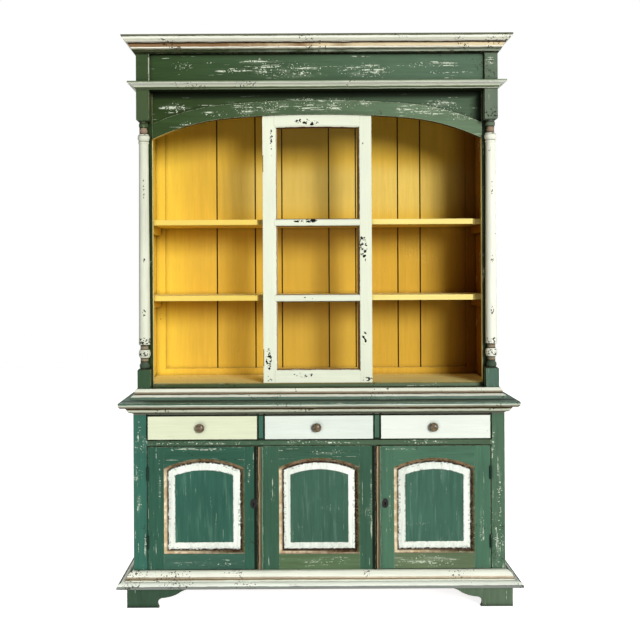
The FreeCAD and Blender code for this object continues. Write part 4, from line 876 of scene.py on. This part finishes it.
def iron(name):
    """Black iron, rough and brown in patches."""
    s = Shader(name)
    patches = s.noise(120, detail=4, seed=1.0)
    colour = s.mix(s.ease(patches, 0.50, 0.75), "#141312", "#2a1f18")
    s.raise_by(patches)
    s.soften_edges(0.0006)
    return s.finish(colour, s.ease(patches, 0.3, 0.7, 0.35, 0.65), bump=0.3, depth=0.0004, Metallic=0.6)


def glass(name):
    """Old, slightly wavy glass with a thin, dirty film."""
    s = Shader(name)
    film = s.noise(9, detail=4, seed=2.0)
    s.raise_by(s.noise(6, seed=5.0))
    return s.finish("#55552f", s.ease(film, 0.3, 0.7, 0.03, 0.12), bump=0.08, depth=0.002,
                    Alpha=0.04, IOR=1.5)


dress(wood("back_wood", UPRIGHT, 80.0, BOARD_LIGHT, BOARD_DARK), "lower_back_boards")
dress(wood("box_wood", DEEP, 81.0),
      "drawer_runners", "drawer_left_box", "drawer_middle_box", "drawer_right_box")
dress(wood("shelf_wood", LEVEL, 82.0), "lower_bottom_board", "lower_shelf", "top_board")
dress(wood("knob_wood", DEEP, 83.0, "#86704a", "#3d2c18", rough=0.32),
      "drawer_left_knob", "drawer_middle_knob", "drawer_right_knob")
dress(iron("black_iron"),
      "door_left_lock", "door_right_lock", "door_left_bolt", "door_right_bolt", "lock_keepers")
dress(painted("painted_iron", "#25382f", UPRIGHT, 90.0, rough=0.5, wear_colour="#2b2018", bare=0.0,
              scratches=0.2),
      "cabinet_hinge_leaves", "door_left_hinge_leaves", "door_right_hinge_leaves")
dress(glass("old_glass"), "glass_panes")


# ---------------------------------------------------------------- floor, light and camera

FLOOR_REACH = 9
FLOOR_GLOW = 0.85
FILL = 0.12

# The camera was fitted to the photograph, in pixels of its 640 by 640 frame.
PICTURE = 640
FOCAL_LENGTH = 1015.33
CENTRE_X, CENTRE_Y = 297.63, 269.88
EYE = (-0.0773, -4.0245, 1.260)
ROLL = -0.00506
SENSOR = 36                             # Blender's own default, in mm


def sees_background(tree):
    """1 for rays that show the background, also in glass or gloss, and 0 for light on the object."""
    path = tree.nodes.new("ShaderNodeLightPath")
    seen = path.outputs["Is Camera Ray"]
    for kind in ("Is Transmission Ray", "Is Glossy Ray"):
        either = tree.nodes.new("ShaderNodeMath")
        either.operation = "MAXIMUM"
        tree.links.new(seen, either.inputs[0])
        tree.links.new(path.outputs[kind], either.inputs[1])
        seen = either.outputs[0]
    return seen


def floor_material():
    """Matte and pale, with a glow that only rays to the background see."""
    material = bpy.data.materials.new("pale_floor")
    material.use_nodes = True
    tree = material.node_tree
    tree.nodes.clear()
    matte = tree.nodes.new("ShaderNodeBsdfDiffuse")
    matte.inputs[0].default_value = (0.9, 0.9, 0.9, 1)
    glow = tree.nodes.new("ShaderNodeEmission")
    glow.inputs[1].default_value = FLOOR_GLOW
    both = tree.nodes.new("ShaderNodeAddShader")
    choice = tree.nodes.new("ShaderNodeMixShader")
    surface = tree.nodes.new("ShaderNodeOutputMaterial")
    for start, end in (
        (matte.outputs[0], both.inputs[0]),
        (glow.outputs[0], both.inputs[1]),
        (sees_background(tree), choice.inputs[0]),
        (matte.outputs[0], choice.inputs[1]),
        (both.outputs[0], choice.inputs[2]),
        (choice.outputs[0], surface.inputs[0]),
    ):
        tree.links.new(start, end)
    return material


def lay_floor():
    """A wide square under the cupboard, which isn't part of it."""
    corners = [(x * FLOOR_REACH, y * FLOOR_REACH, 0) for x, y in ((-1, -1), (1, -1), (1, 1), (-1, 1))]
    mesh = bpy.data.meshes.new("floor")
    mesh.from_pydata(corners, [], [(0, 1, 2, 3)])
    mesh.materials.append(floor_material())
    floor = bpy.data.objects.new("floor", mesh)
    bpy.context.scene.collection.objects.link(floor)


def light_world():
    """Weak light from all around, and a white background."""
    world = bpy.data.worlds.new("studio")
    world.use_nodes = True
    bpy.context.scene.world = world
    tree = world.node_tree
    backdrop = tree.nodes["Background"]
    backdrop.inputs["Color"].default_value = (1, 1, 1, 1)
    strength = tree.nodes.new("ShaderNodeMapRange")
    strength.inputs["To Min"].default_value = FILL
    strength.inputs["To Max"].default_value = 1.0
    tree.links.new(sees_background(tree), strength.inputs["Value"])
    tree.links.new(strength.outputs[0], backdrop.inputs["Strength"])


def sun(name, azimuth, height, energy, spread):
    """A lamp far off to one side; azimuth is measured in degrees from the front, towards the right."""
    lamp = bpy.data.lights.new(name, "SUN")
    lamp.energy = energy
    lamp.angle = math.radians(spread)
    holder = bpy.data.objects.new(name, lamp)
    holder.rotation_euler = (math.radians(90 - height), 0, math.radians(azimuth))
    bpy.context.scene.collection.objects.link(holder)


def place_camera():
    """Looks straight at the front, a little from the left, as the photograph does."""
    data = bpy.data.cameras.new("camera")
    data.sensor_width = SENSOR
    data.lens = SENSOR * FOCAL_LENGTH / PICTURE
    data.shift_x = (PICTURE / 2 - CENTRE_X) / PICTURE
    data.shift_y = (CENTRE_Y - PICTURE / 2) / PICTURE
    data.clip_end = 100
    camera = bpy.data.objects.new("camera", data)
    upright = Matrix.Rotation(math.pi / 2, 4, "X")
    camera.matrix_world = Matrix.Translation(EYE) @ upright @ Matrix.Rotation(ROLL, 4, "Z")
    bpy.context.scene.collection.objects.link(camera)
    bpy.context.scene.camera = camera


lay_floor()
light_world()
sun("key", azimuth=24, height=13, energy=2.82, spread=20)
sun("back_light", azimuth=208, height=35, energy=1.3, spread=20)
place_camera()
bpy.context.scene.view_settings.view_transform = "Standard"
